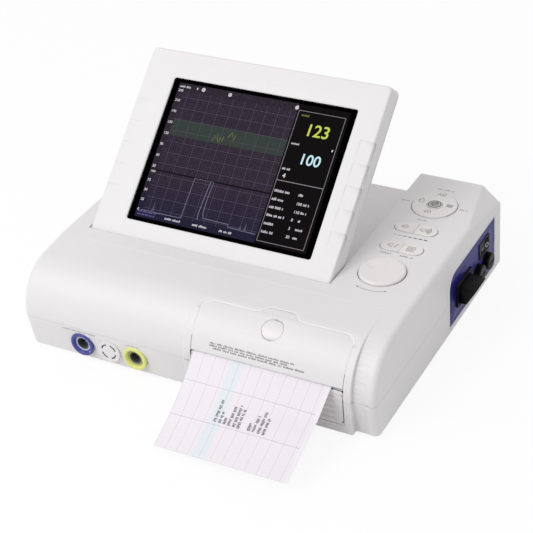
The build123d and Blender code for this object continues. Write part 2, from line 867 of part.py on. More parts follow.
def back_cover(outside):
    """Rear half of the screen head, with screw posts and board pillars."""
    body = outside & box(-far, far, -far, far, -far, head_split - split_gap)
    body -= head_hollow()
    for x, y in head_screw_places():
        post = rod_z(-barrel_r, head_split - split_gap, x, y, boss_r)
        body += post & outside
        body -= rod_z(-far, head_split, x, y, screw_r + thin / 2)
        body -= rod_z(-far, -barrel_r + screw_head_t, x, y, screw_head_r + thin / 2)
    for x, y in display_pillars():
        body += rod_z(-barrel_r + head_wall / 2, display_board_z(), x, y, standoff_r)
    return body


def display_board_z():
    """Underside of the display board, from the hinge axis."""
    return -barrel_r + head_wall + 2 * head_wall - board_t * 2


def head_screw_places():
    """Screws of the back cover."""
    inset = head_wall + boss_r - post_sink
    y0 = window_y0
    y1 = head_top_front - inset - head_edge_r
    return [(x, y) for x in (head_x0 + inset, head_x1 - inset) for y in (y0, y1)]


def display_pillars():
    """Pillars under the display board and the inverter board."""
    dx = display_board_w / 2 - standoff_r * 2
    dy = display_board_h / 2 - standoff_r * 2
    places = [(window_x + sx * dx, window_y + sy * dy) for sx in (-1, 1) for sy in (-1, 1)]
    places += [(window_x + sx * (inverter_w / 2 - standoff_r * 2), inverter_y()) for sx in (-1, 1)]
    return places


def inverter_y():
    """Middle line of the inverter board."""
    return window_y + display_board_h / 2 + inverter_h


def display_parts():
    """Glass, panel module and the two boards of the screen head."""
    glass = from_above(window_face(glass_margin), barrel_r - head_wall - glass_t, barrel_r - head_wall)
    module_top = barrel_r - head_wall - glass_t
    module = box(window_x - lcd_w / 2, window_x + lcd_w / 2, window_y - lcd_h / 2, window_y + lcd_h / 2,
                 module_top - lcd_t, module_top)
    z = display_board_z()
    top = z + board_t
    board = block_z(z, top, window_x, window_y, display_board_w, display_board_h)
    board += block_z(top, top + chip_t / 2, window_x, window_y, display_board_h / 2, display_board_h / 2)
    inverter = block_z(z, top, window_x, inverter_y(), inverter_w, inverter_h)
    inverter += block_z(top, top + chip_t, window_x - inverter_w / 8, inverter_y(), inverter_w / 4,
                        inverter_h * soft)
    return glass, module, [board, inverter]


def head_screws():
    """Screws of the back cover, set in their recesses."""
    pieces = []
    for x, y in head_screw_places():
        head = rod_z(-barrel_r + thin, -barrel_r + screw_head_t, x, y, screw_head_r)
        shank = rod_z(-barrel_r + screw_head_t, head_split - split_gap, x, y, screw_r)
        pieces.append(in_head(head + shank))
    return pieces


def hinge_bushes():
    """Friction bushes pressed into the ends of the barrel."""
    return [in_head(rod_x(x0, x1, 0, 0, bush_r) - rod_x(x0 - over, x1 + over, 0, 0, pin_r + pin_fit))
            for x0, x1 in bush_spans()]


def hinge_sides():
    """Outer face of the recess wall and direction away from the screen, left and right."""
    return ((recess_x0 - wall, -1), (recess_x1 + wall, 1))


def hinge_brackets():
    """Brackets on the recess walls, each with its steel pin into the barrel."""
    pins = (rod_x(recess_x0 - wall - bracket_w, head_x0 + pin_in, axis_y, axis_z, pin_r),
            rod_x(head_x1 - pin_in, recess_x1 + wall + bracket_w, axis_y, axis_z, pin_r))
    pieces = []
    for (x, sign), pin in zip(hinge_sides(), pins):
        x0 = min(x, x + sign * bracket_w)
        piece = block_z(axis_z - bracket_drop, deck_z - wall - thin, x0 + bracket_w / 2, axis_y, bracket_w,
                        bracket_len)
        pieces.append(piece + pin)
    return pieces


def skin(inset0, inset1, x0, x1):
    """Piece of the front block's skin between two depths."""
    outer = along_x(case_face(block_front_y, block_toe_y, inset0), x0, x1)
    return outer - along_x(case_face(block_front_y, block_toe_y, inset1), x0 - over, x1 + over)


def thumb_axis():
    """Frame on the rounded front with its Z out of the surface, at the thumb button."""
    y, z = on_nose(thumb_angle)
    angle = radians(thumb_angle)
    return Plane(origin=(bump_x, y, z), x_dir=(1, 0, 0), z_dir=(0, cos(angle), sin(angle)))


def at_thumb(piece):
    """Place a piece modelled about the thumb button's axis."""
    return thumb_axis().location * piece


def drawer_cover():
    """Upper cover of the drawer, over the roller."""
    piece = skin(0, cover_t, cover_x0, cover_x1)
    piece = piece & from_above(cover_outline(), slot_z + slot_h, deck_z)
    return piece - at_thumb(Cylinder(thumb_r + thumb_gap, 4 * cover_t))


def drawer_plate():
    """Ribbed lower plate of the drawer."""
    piece = skin(0, plate_t, cover_x0, cover_x1) & box(-far, far, -far, platen_y, sill_z + cover_gap, slot_z)
    for i in range(plate_rib_count):
        z = plate_rib_first + i * plate_rib_pitch
        groove = skin(-over, plate_rib_deep, cover_x0 + plate_rib_margin, cover_x1 - plate_rib_margin)
        piece -= groove & box(-far, far, -far, platen_y, z, z + plate_rib_w)
    return piece


def drawer_tray():
    """Paper tray moulded with the ribbed plate, with cheeks that carry the roller."""
    floor_top = tray_floor_z + tray_wall
    body = box(tray_x0, tray_x1, -far, tray_back_y, tray_floor_z, floor_top)
    body += box(tray_x0, tray_x1, tray_back_y - tray_wall, tray_back_y, tray_floor_z, tray_top)
    for x in (tray_x0, tray_x1 - tray_wall):
        body += box(x, x + tray_wall, -far, tray_back_y, tray_floor_z, tray_top)
        body += box(x, x + tray_wall, -far, cheek_back_y, tray_floor_z, cheek_top)
    body -= rod_x(tray_x0 - over, tray_x1 + over, platen_y, platen_z, platen_shaft_r + pin_fit)
    return (body & along_x(case_face(block_front_y, block_toe_y, plate_t), tray_x0, tray_x1)) + drawer_plate()


def paper_pack():
    """Folded stack of recorder paper, one solid with fold lines at its ends."""
    z0 = tray_floor_z + tray_wall
    y1 = tray_back_y - tray_wall - paper_gap * 4
    y0 = y1 - paper_page
    body = box(paper_x0, paper_x0 + paper_w, y0, y1, z0, z0 + paper_stack)
    step = paper_stack / paper_folds
    for i in range(paper_folds):
        z = z0 + (i + 1 / 2) * step
        body -= box(paper_x0 - over, paper_x0 + paper_w + over, y1 - paper_gap, y1 + over, z, z + step / 4)
        body -= box(paper_x0 - over, paper_x0 + paper_w + over, y0 - over, y0 + paper_gap, z, z + step / 4)
    return body


def paper_strip():
    """Printed strip from the roller through the slot and down over the front."""
    upper = [(y, z + strip_t) for y, z in strip_route]
    low = Spline(*strip_route)
    high = Spline(*upper)
    outline = low + Line(strip_route[-1], upper[-1]) + high + Line(upper[0], strip_route[0])
    return along_x(make_face(outline), paper_x0, paper_x0 + paper_w)


def drawer_rails():
    """Two rails on the case floor that carry and guide the tray."""
    y0 = toe_y + 2 * wall
    left = box(tray_x0 - tray_gap - rail_t, tray_x0 - tray_gap, y0, tray_back_y, floor_z, rail_top)
    left += box(tray_x0 - tray_gap, tray_x0 + rail_foot, y0, tray_back_y, floor_z, tray_floor_z - thin)
    right = box(tray_x1 + tray_gap, tray_x1 + tray_gap + rail_t, y0, tray_back_y, floor_z, rail_top)
    right += box(tray_x1 - rail_foot, tray_x1 + tray_gap, y0, tray_back_y, floor_z, tray_floor_z - thin)
    return [left, right]


def thumb_button():
    """Push button of the drawer with its stem and hook."""
    body = at_thumb(Cylinder(thumb_r, 4 * thumb_deep)) & skin(0, thumb_deep, cover_x0, cover_x1)
    flange = at_thumb(Cylinder(thumb_r + thumb_flange, 4 * thumb_deep))
    flange = flange & skin(cover_t + thin, cover_t + thin + thumb_flange_t, cover_x0, cover_x1)
    stem = Pos(0, 0, -thumb_deep - thumb_stem_len / 2) * Cylinder(thumb_stem_r, thumb_stem_len + over)
    stem = at_thumb(stem)
    hook_y, hook_z = hook_place()
    hook = box(bump_x - hook_w / 2, bump_x + hook_w / 2, hook_y, hook_y + hook_len, hook_z - hook_t, hook_z)
    return body + flange + stem + hook


def hook_place():
    """Front and top of the hook at the end of the stem."""
    y, z = on_nose(thumb_angle, -thumb_deep - thumb_stem_len)
    return y - thumb_stem_r / 2, z + hook_t / 2


def thumb_guide():
    """Plate under the cover that guides the button's stem."""
    plate = Pos(0, 0, -guide_deep) * Box(2 * guide_half_x, 2 * guide_half_w, guide_t)
    for sign in (-1, 1):
        post_x = sign * (guide_half_x - guide_post / 2)
        plate += block_z(-guide_deep, 0, post_x, 0, guide_post, 2 * guide_half_w)
    plate -= Pos(0, 0, -guide_deep) * Cylinder(thumb_stem_r + thin, 2 * guide_t)
    return at_thumb(plate) & along_x(case_face(block_front_y, block_toe_y, cover_t), cover_x0, cover_x1)


def gear(teeth, half_turn=0.0):
    """Spur gear about X with straight-sided teeth; half_turn sets the phase in teeth."""
    pitch_r = gear_module * teeth / 2
    root_r = pitch_r - gear_module * gear_root
    tip_r = pitch_r + gear_module * gear_tip
    pitch = 2 * pi / teeth
    play = gear_play / pitch_r
    points = []
    for i in range(teeth):
        middle = (i + half_turn) * pitch
        for r, share in ((root_r, -tooth_foot), (tip_r, -tooth_tip), (tip_r, tooth_tip),
                         (root_r, tooth_foot)):
            angle = middle + share * pitch - (play / 2 if share > 0 else -play / 2)
            points.append((r * cos(angle), r * sin(angle)))
    return make_face(Polyline(*points, close=True))


def platen():
    """Roller shaft, rubber sleeve and gear of the drawer."""
    shaft = rod_x(tray_x0 + thin, tray_x1 - thin, platen_y, platen_z, platen_shaft_r)
    rubber = rod_x(paper_x0, paper_x0 + paper_w, platen_y, platen_z, platen_r)
    bore = rod_x(-half_w, half_w, platen_y, platen_z, platen_shaft_r)
    rubber -= bore
    wheel = Pos(0, platen_y, platen_z) * along_x(gear(platen_teeth), gear_x0, gear_x0 + gear_w)
    wheel -= bore
    return shaft, rubber, wheel


def motor_plate_x():
    """Inner face of the motor plate."""
    return tray_x1 + motor_plate_gap


def motor():
    """Stepper motor, its shaft, its pinion and its plate."""
    x0 = motor_plate_x()
    x1 = x0 + motor_plate_t
    plate = box(x0, x1, motor_plate_y0, motor_plate_y1, rail_top, motor_plate_top)
    plate -= rod_x(x0 - over, x1 + over, motor_y, platen_z, motor_shaft_r * 2)
    body = rod_x(x1, x1 + motor_len - motor_plate_t, motor_y, platen_z, motor_r)
    body -= rod_x(x1 - over, x1 + motor_len / 2, motor_y, platen_z, motor_shaft_r + pin_fit)
    shaft = rod_x(gear_x0, x1 + motor_len / 2 - thin, motor_y, platen_z, motor_shaft_r)
    # A tooth of the pinion stands in the gap of the roller's gear, straight behind it
    pinion = Pos(0, motor_y, platen_z) * along_x(gear(motor_teeth, 1 / 2), gear_x0, gear_x0 + gear_w)
    return plate, body, shaft + pinion


def print_head():
    """Thermal print head, its bracket with the latch keeper, and its two springs."""
    x0 = paper_x0 + over
    x1 = paper_x0 + paper_w - over
    z0 = platen_z - head_bar_h / 2
    z1 = platen_z + head_bar_h / 2
    bar = box(x0, x1, bar_y, bar_y + head_bar_t, z0, z1)
    bar_back = bar_y + head_bar_t
    for i in range(1, print_fins):
        z = z0 + i * head_bar_h / print_fins
        bar -= box(x0 - over, x1 + over, bar_back - print_fin_t, bar_back + over, z, z + print_fin_t)
    inner = along_x(case_face(nose_front_y, toe_y, wall + thin), -half_w, half_w)
    plate = box(x0, x1, bracket_y, bracket_y + print_bracket_t, z0, deck_z) & inner
    hook_y, hook_z = hook_place()
    keeper = box(bump_x - hook_w, bump_x + hook_w, bracket_y - keeper_len, bracket_y, hook_z + keeper_gap,
                 hook_z + keeper_gap + keeper_h)
    springs = []
    for x in (x0 + paper_w / 4, x1 - paper_w / 4):
        coil_len = print_spring_len * print_spring_fill
        coil = Helix(coil_len / print_spring_turns, coil_len, print_spring_r)
        wire = sweep(Plane(origin=coil @ 0, z_dir=coil % 0) * Circle(print_spring_wire), path=coil)
        springs.append(Pos(x, bracket_y - (print_spring_len - coil_len) / 2, platen_z) * Rot(90, 0, 0) * wire)
    return bar, plate + keeper, springs


def nav_pad():
    """Four-way pad, its centre key and the gimbal ring that carries it."""
    skirt_z = pad_top_z - pad_t
    pad = rod_z(skirt_z, pad_top_z, pad_x, pad_y, pad_r)
    pad -= rod_z(skirt_z - over, pad_top_z - pad_top_t, pad_x, pad_y, pad_r - pad_top_t)
    pad = fillet(pad.edges().group_by(Axis.Z)[-1], pad_proud * full)
    pad -= rod_z(skirt_z - over, pad_top_z + over, pad_x, pad_y, ok_r + ok_gap)
    low = ring_mid_z - lug_w / 2
    for sign in (-1, 1):
        x = pad_x + sign * (ring_r + lug_gap + lug_t / 2)
        pad += block_z(low, pad_top_z - pad_top_t / 2, x, pad_y, lug_t, lug_w)
    pin_reach = ring_r + lug_gap + lug_t + over
    pad -= rod_x(pad_x - pin_reach, pad_x + pin_reach, pad_y, ring_mid_z, ring_pin_r + pin_fit)
    key = rod_z(pad_top_z - pad_top_t, pad_top_z + ok_proud, pad_x, pad_y, ok_r)
    key = fillet(key.edges().group_by(Axis.Z)[-1], ok_proud)
    flange_top = pad_top_z - pad_top_t - thin
    key += rod_z(flange_top - key_flange_t, flange_top + 2 * thin, pad_x, pad_y, ok_r - ok_gap)
    key += rod_z(flange_top - key_flange_t, flange_top, pad_x, pad_y, ok_r + ok_flange)
    key += rod_z(keyboard_top + dome_h + ok_travel + thin, flange_top, pad_x, pad_y, ok_stem_r)
    ring = rod_z(ring_mid_z - ring_t / 2, ring_mid_z + ring_t / 2, pad_x, pad_y, ring_r)
    ring += rod_x(pad_x - ring_r - ring_pin_len, pad_x + ring_r + ring_pin_len, pad_y, ring_mid_z, ring_pin_r)
    ring += rod_y(pad_y - ring_r - ring_pin_len, pad_y + ring_r + ring_pin_len, pad_x, ring_mid_z, ring_pin_r)
    ring -= rod_z(0, far, pad_x, pad_y, ring_r - ring_w)
    return pad, key, ring


def half_key(y, side):
    """Half of a round-ended pair of keys, with its flange and its post; side is -1 or 1."""
    cut = box(pill_x, pill_x + far, -far, far, 0, far) if side > 0 else box(-far, pill_x, -far, far, 0, far)
    cut = Pos(side * key_split / 2, 0, 0) * cut
    top = deck_z + key_proud
    under = deck_z - wall - thin
    body = from_above(Pos(pill_x, y) * pill_face(), under - key_flange_t, top)
    body = fillet(body.edges().group_by(Axis.Z)[-1], key_proud * full)
    body += from_above(Pos(pill_x, y) * pill_face(key_flange), under - key_flange_t, under)
    body = body & cut
    x = pill_x + side * pill_len / 4
    return body + rod_z(keyboard_top + dome_h + key_travel + thin, under, x, y, key_post_r)


def knob():
    """Big push-and-turn knob, its shaft, the rotor and the encoder body."""
    low = knob_top_z - knob_skirt
    cap = rod_z(low, knob_top_z, knob_x, knob_y, knob_r)
    cap = fillet(cap.edges().group_by(Axis.Z)[-1], knob_wall * soft)
    cap -= rod_z(low - over, knob_top_z - knob_wall, knob_x, knob_y, knob_r - knob_wall)
    angle = radians(dimple_angle)
    ball_x = knob_x + dimple_out * cos(angle)
    ball_y = knob_y + dimple_out * sin(angle)
    cap -= Pos(ball_x, ball_y, knob_top_z + dimple_r - dimple_deep) * Sphere(dimple_r)
    cap += rod_z(knob_top_z - knob_wall - hub_h, knob_top_z - knob_wall, knob_x, knob_y, hub_r)
    bottom = keyboard_top + encoder_floor
    shaft_z0 = bottom + knob_push + thin
    shaft_z1 = knob_top_z - knob_wall - shaft_top_in
    cap -= rod_z(0, shaft_z1, knob_x, knob_y, shaft_r)
    shaft = rod_z(shaft_z0, shaft_z1, knob_x, knob_y, shaft_r)
    rotor = rod_z(bottom + thin, bottom + thin + rotor_h, knob_x, knob_y, rotor_r)
    rotor -= rod_z(0, far, knob_x, knob_y, shaft_r + shaft_fit)
    body = block_z(keyboard_top, keyboard_top + encoder_h, knob_x, knob_y, encoder_side, encoder_side)
    body -= rod_z(bottom, far, knob_x, knob_y, rotor_r + shaft_fit)
    return cap, shaft, rotor, body


def key_board():
    """Board under the key strip, with the posts of the gimbal ring, and its domes."""
    board = box(keyboard_x0, keyboard_x1, keyboard_y0, keyboard_y1, keyboard_z, keyboard_top)
    for x, y in keyboard_corners():
        board -= rod_z(keyboard_z - over, keyboard_top + over, x, y, screw_r)
    domes = [rod_z(keyboard_top, keyboard_top + dome_h, pad_x, pad_y, dome_r)]
    for y in pill_ys:
        for side in (-1, 1):
            domes.append(rod_z(keyboard_top, keyboard_top + dome_h, pill_x + side * pill_len / 4, y, dome_r))
    for sign in (-1, 1):
        y = pad_y + sign * (ring_r + lug_gap + lug_t / 2)
        post = block_z(keyboard_top, ring_mid_z + lug_w / 2 - thin, pad_x, y, lug_w, lug_t)
        board += post - rod_y(y - lug_t, y + lug_t, pad_x, ring_mid_z, ring_pin_r + pin_fit)
    return board, domes


def keyboard_corners():
    """Fixing points of the key board."""
    return [(x, y) for x in (keyboard_x0 + spacer_in, keyboard_x1 - spacer_in)
            for y in (keyboard_y0 + spacer_in, keyboard_y1 - spacer_in)]


def power_switch():
    """Housing and rocker of the power switch; the rocker turns about Z."""
    bezel = block_x(face_x, face_x + rocker_bezel_t, rocker_y, rocker_z, rocker_w, rocker_h)
    bezel = fillet(bezel.edges().filter_by(Axis.X), rocker_bezel * full)
    in_w = rocker_w - 2 * rocker_bezel - thin
    in_h = rocker_h - 2 * rocker_bezel - thin
    hole_z = in_h / 2 - rocker_wall
    pivot_x = face_x - rocker_pivot_in
    reach = rocker_r + rocker_gap
    housing = bezel + block_x(face_x - rocker_deep, face_x, rocker_y, rocker_z, in_w, in_h)
    housing -= block_x(pivot_x - reach, far, rocker_y, rocker_z, 2 * reach, 2 * hole_z)
    pin_z = hole_z + rocker_wall / 2
    housing -= rod_z(rocker_z - pin_z, rocker_z + pin_z, pivot_x, rocker_y, rocker_pin_r + pin_fit)
    rocker_half_z = hole_z - rocker_gap
    tip_x = rocker_face + rocker_tip
    back_x = -rocker_r / 2
    outline = make_face(Polyline((back_x, -rocker_r), (tip_x, -rocker_r), (rocker_face, 0), (tip_x, rocker_r),
                                 (back_x, rocker_r), close=True))
    rocker = from_above(outline, -rocker_half_z, rocker_half_z) & Cylinder(rocker_r, rocker_h)
    rocker += Cylinder(rocker_pin_r, 2 * pin_z - thin)
    rocker = Pos(pivot_x, rocker_y, rocker_z) * Rot(0, 0, -rocker_throw / 2) * rocker
    return housing, rocker


def fuse_set(y):
    """Holder, cap and fuse at one place on the side panel."""
    flange_x = face_x + fuse_flange_t
    holder = rod_x(face_x - fuse_tube_len, face_x, y, fuse_z, fuse_tube_r)
    holder += rod_x(face_x, flange_x, y, fuse_z, fuse_flange_r)
    holder -= rod_x(face_x - fuse_tube_len + fuse_flange_t, far, y, fuse_z, fuse_bore_r)
    cap_x = flange_x + thin
    cap = rod_x(cap_x, cap_x + fuse_cap_out, y, fuse_z, fuse_cap_r)
    cap = fillet(cap.edges().group_by(Axis.X)[-1], fuse_cap_r / 8)
    stem_x = cap_x - fuse_stem_len
    cap += rod_x(stem_x, cap_x, y, fuse_z, fuse_stem_r)
    cap -= rod_x(stem_x - over, stem_x + fuse_socket_deep, y, fuse_z, fuse_r + thin)
    cap -= block_x(cap_x + fuse_cap_out - fuse_slot_deep, far, y, fuse_z, 2 * fuse_cap_r * soft, fuse_slot_w)
    fuse_x1 = stem_x + fuse_socket_deep - thin
    fuse = rod_x(fuse_x1 - fuse_len, fuse_x1, y, fuse_z, fuse_r)
    return holder, cap, fuse


def mains_inlet():
    """Three-pin inlet, its blades and the black block pushed into it."""
    x1 = face_x + inlet_flange_t
    flange = block_x(face_x, x1, inlet_y, inlet_z, inlet_w, inlet_h)
    flange = fillet(flange.edges().filter_by(Axis.X), inlet_flange_t)
    body = block_x(face_x - inlet_deep, face_x, inlet_y, inlet_z, inlet_body_w, inlet_body_h)
    back_x = face_x - inlet_deep + inlet_wall
    hole = block_x(back_x, far, inlet_y, inlet_z, plug_w + 2 * plug_gap, plug_h + 2 * plug_gap)
    blades = []
    plug_x0 = face_x - plug_in
    plug = plug_form(plug_x0, x1 + thin, 0) + plug_form(x1 + thin, x1 + plug_step_at, plug_step)
    plug += plug_form(x1 + plug_step_at, face_x + plug_out, 0)
    plug -= plug_end(face_x + plug_out)
    body = body + flange - hole
    for i in (-1, 0, 1):
        y = inlet_y + i * blade_pitch
        z = inlet_z + (blade_rise if i == 0 else -blade_rise) / 2
        blades.append(block_x(back_x, back_x + blade_len, y, z, blade_t, blade_h))
        plug -= block_x(plug_x0 - over, back_x + blade_len + thin, y, z, blade_t + 2 * thin,
                        blade_h + 2 * thin)
    return body, blades, plug


def plug_end(x):
    """What the leaning outer end of the block leaves out, below its upper edge at x."""
    top = inlet_z + plug_h / 2
    drop = plug_h + 2 * plug_step
    run = drop * tan(radians(plug_lean))
    low = top - drop
    side = Plane.XZ * make_face(Polyline((x, top), (x - run, low), (far, low), (far, top), close=True))
    return Pos(0, inlet_y + plug_w, 0) * extrude(side, 2 * plug_w)


def plug_form(x0, x1, grow):
    """Block with two chamfered upper corners."""
    w = plug_w + 2 * grow
    h = plug_h + 2 * grow
    face = Pos(inlet_y, inlet_z) * Rectangle(w, h)
    upper = face.vertices().sort_by(Axis.Y)[-2:]
    return along_x(chamfer(upper, plug_chamfer), x0, x1)


def socket(x):
    """Coloured ring with its barrel, and the dark keyed insert."""
    y_face = front_y_at(socket_z)
    ring_y = y_face - ring_proud
    ring = rod_y(ring_y, y_face + thin, x, socket_z, ring_out_r)
    ring = fillet(ring.edges().group_by(Axis.Y)[0], ring_proud / 2)
    tilt = along_x(case_face(nose_front_y, toe_y), -half_w, half_w)
    ring -= tilt
    ring += rod_y(ring_y + ring_proud * soft, ring_y + socket_body_len, x, socket_z, socket_body_r)
    ring -= rod_y(ring_y - over, ring_y + socket_body_len + over, x, socket_z, insert_r)
    dish = Pos(x, ring_y, socket_z) * Rot(90, 0, 0) * Cone(insert_r, insert_r + ring_proud, ring_proud * 2)
    ring -= dish
    mouth = ring_y + ring_proud * full
    insert = rod_y(mouth, ring_y + socket_body_len, x, socket_z, insert_r)
    hole = Pos(x, 0, socket_z) * Rot(90, 0, 0) * extrude(keyway(), key_hole_deep)
    insert -= Pos(0, mouth + key_hole_deep, 0) * hole
    return ring, insert


def keyway():
    """Outline of the connector hole, a circle with a key at its top."""
    return Circle(key_hole_r) + Pos(0, key_hole_r * full) * Rectangle(key_hole_r, key_hole_r * full)


def front_y_at(z):
    """Front surface of the case below the rounding, at height z."""
    low = touch((toe_y, case_base_z), (nose_front_y + nose_r, nose_z), nose_r, -1)
    return toe_y + (low[0] - toe_y) * (z - case_base_z) / (low[1] - case_base_z)


def blank_plug():
    """Plug of the unused socket hole, with four arc slots."""
    y = front_y_at(socket_z)
    piece = rod_y(y - blank_rim_t, y + blank_t, blank_x, socket_z, blank_r)
    front = y - 2 * blank_rim_t
    rim = rod_y(front, y + blank_t / 3, blank_x, socket_z, blank_r + blank_rim)
    piece += rim - along_x(case_face(nose_front_y, toe_y), -half_w, half_w)
    pitch_deg = 360 / blank_arc_count
    for i in range(blank_arc_count):
        start = pitch_deg * i + (pitch_deg - blank_arc_deg) / 2
        arc = ring_sector(blank_arc_r, blank_arc_w, start, blank_arc_deg)
        cutter = extrude(Plane.XZ * arc, -blank_arc_deep)
        piece -= Pos(blank_x, front, socket_z) * cutter
    return piece


def ring_sector(r, w, start, sweep_deg):
    """Flat arc slot about the origin."""
    points = []
    steps = 8
    for i in range(steps + 1):
        angle = radians(start + sweep_deg * i / steps)
        points.append(((r + w / 2) * cos(angle), (r + w / 2) * sin(angle)))
    for i in range(steps + 1):
        angle = radians(start + sweep_deg * (steps - i) / steps)
        points.append(((r - w / 2) * cos(angle), (r - w / 2) * sin(angle)))
    return make_face(Polyline(*points, close=True))


def board_areas():
    """Outlines of the main board and the power board."""
    return ((main_board_x0, main_board_x1, main_board_y0, main_board_y1),
            (power_x0, power_x1, power_y0, power_y1))


def board_pillars():
    """Places of the moulded pillars under the boards."""
    places = []
    for x0, x1, y0, y1 in board_areas():
        places += [(x, y) for x in (x0 + spacer_in, x1 - spacer_in) for y in (y0 + spacer_in, y1 - spacer_in)]
    return places


def main_board_parts():
    """Chips and connectors on the main board."""
    top = board_z + board_t
    d = main_board_y1 - main_board_y0
    pieces = []
    for place_x, place_y, share_w, share_d in chips:
        x = main_board_x0 + place_x * main_board_w
        y = main_board_y0 + place_y * d
        pieces.append(block_z(top, top + chip_t, x, y, share_w * main_board_w, share_d * d))
    y = main_board_y0 + header_in + header_d / 2
    for place_x in headers:
        x = main_board_x0 + place_x * main_board_w
        pieces.append(block_z(top, top + 3 * chip_t, x, y, header_w, header_d))
    return pieces


def power_parts():
    """Transformer, heat sink and capacitors of the power supply."""
    top = board_z + board_t
    x = power_x0 + transformer_w / 2 + spacer_in
    y = power_y1 - transformer_d / 2 - 2 * spacer_in
    core = block_z(top, top + transformer_h, x, y, transformer_w, transformer_d)
    sink_x = power_x1 - sink_pitch * sink_fins - spacer_in
    sink_y = power_y0 + 2 * spacer_in
    sink = box(sink_x, sink_x + sink_pitch * sink_fins, sink_y, sink_y + sink_len, top, top + sink_t)
    for i in range(sink_fins):
        fin_x = sink_x + i * sink_pitch
        sink += box(fin_x, fin_x + sink_t, sink_y, sink_y + sink_len, top, top + sink_h)
    caps_top = top + transformer_h * full
    caps = [rod_z(top, caps_top, power_x0 + spacer_in * (2 + 3 * i), power_y0 + 3 * spacer_in, spacer_in)
            for i in range(capacitors)]
    return core, sink, caps


def speaker():
    """Loudspeaker on the floor over its slots."""
    frame = rod_z(floor_z, floor_z + speaker_t / 3, speaker_x, speaker_y, speaker_r)
    frame += rod_z(floor_z, floor_z + speaker_t, speaker_x, speaker_y, speaker_r / 2)
    frame -= Pos(speaker_x, speaker_y, floor_z) * Cone(speaker_r * full, speaker_r * (1 - soft), speaker_t)
    return frame


def rubber_feet():
    """Four feet set in the underside."""
    return [rod_z(0, case_base_z + foot_recess, x, y, foot_r) for x, y in foot_places()]


def case_screws():
    """Long screws that join the shells from below."""
    pieces = []
    for x, y in boss_places():
        head_top = case_base_z + screw_head_t
        head = rod_z(case_base_z + thin, head_top, x, y, screw_head_r)
        pieces.append(head + rod_z(head_top, head_top + screw_len, x, y, screw_r))
    return pieces


def shells():
    """Case shells, panel, feet and screws."""
    blank = shell_blank()
    save("upper_case", upper_case(blank))
    save("lower_case", lower_case(blank))
    save("side_panel", side_panel())
    save("rubber_feet", *rubber_feet())
    save("case_screws", *case_screws())


def screen_head():
    """Everything that tilts with the screen, and its hinge."""
    outside = head_outside()
    save("front_bezel", in_head(front_bezel(outside)))
    save("back_cover", in_head(back_cover(outside)))
    glass, module, boards = display_parts()
    save("display_glass", in_head(glass))
    save("lcd_module", in_head(module))
    save("display_boards", *[in_head(board) for board in boards])
    save("head_screws", *head_screws())
    save("hinge_bushes", *hinge_bushes())
    save("hinge_brackets", *hinge_brackets())


def drawer():
    """Paper drawer and the recorder behind it."""
    save("drawer_cover", drawer_cover())
    save("drawer_tray", drawer_tray())
    save("paper_pack", paper_pack())
    save("paper_strip", paper_strip())
    save("drawer_rails", *drawer_rails())
    save("thumb_button", thumb_button())
    save("thumb_guide", thumb_guide())
    for name, piece in zip(("platen_shaft", "platen_rubber", "platen_gear"), platen()):
        save(name, piece)
    plate, body, pinion = motor()
    bar, bracket, springs = print_head()
    save("stepper_motor", body)
    save("motor_pinion", pinion)
    save("print_head", bar, *springs)
    save("recorder_brackets", plate, bracket)


def key_strip():
    """Keys, knob and their board."""
    for name, piece in zip(("nav_pad", "nav_centre_key", "nav_gimbal"), nav_pad()):
        save(name, piece)
    for row, y in zip(("volume", "event"), pill_ys):
        save(f"key_{row}_left", half_key(y, -1))
        save(f"key_{row}_right", half_key(y, 1))
    for name, piece in zip(("knob_cap", "knob_shaft", "encoder_rotor", "encoder_body"), knob()):
        save(name, piece)
    board, domes = key_board()
    save("key_board", board)
    save("key_domes", *domes)


def mains_side():
    """Switch, fuses and inlet of the side panel."""
    for name, piece in zip(("switch_housing", "power_rocker"), power_switch()):
        save(name, piece)
    holders = []
    for place, y in zip(("rear", "front"), fuse_ys):
        holder, cap, fuse = fuse_set(y)
        holders.append(holder)
        save(f"fuse_cap_{place}", cap)
        save(f"fuse_{place}", fuse)
    save("fuse_holders", *holders)
    inlet, blades, plug = mains_inlet()
    save("mains_inlet", inlet)
    save("inlet_blades", *blades)
    save("inlet_plug", plug)


def sockets():
    """Transducer sockets and the blank plug."""
    inserts = []
    for colour, x in zip(("blue", "yellow"), socket_xs):
        ring, insert = socket(x)
        inserts.append(insert)
        save(f"socket_{colour}", ring)
    save("socket_inserts", *inserts)
    save("blank_plug", blank_plug())


def electronics():
    """Boards, power supply and loudspeaker."""
    main, power = [box(*area, board_z, board_z + board_t) for area in board_areas()]
    core, sink, caps = power_parts()
    save("main_board", main)
    save("power_board", power)
    save("board_components", *main_board_parts(), *caps)
    save("transformer", core)
    save("heat_sink", sink)
    save("speaker", speaker())


os.makedirs("parts", exist_ok=True)
shells()
screen_head()
drawer()
key_strip()
mains_side()
sockets()
electronics()
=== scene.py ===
import bpy
import json
import random
from functools import partial
from math import cos, pi, radians, sin, sqrt
from mathutils import Matrix, Vector


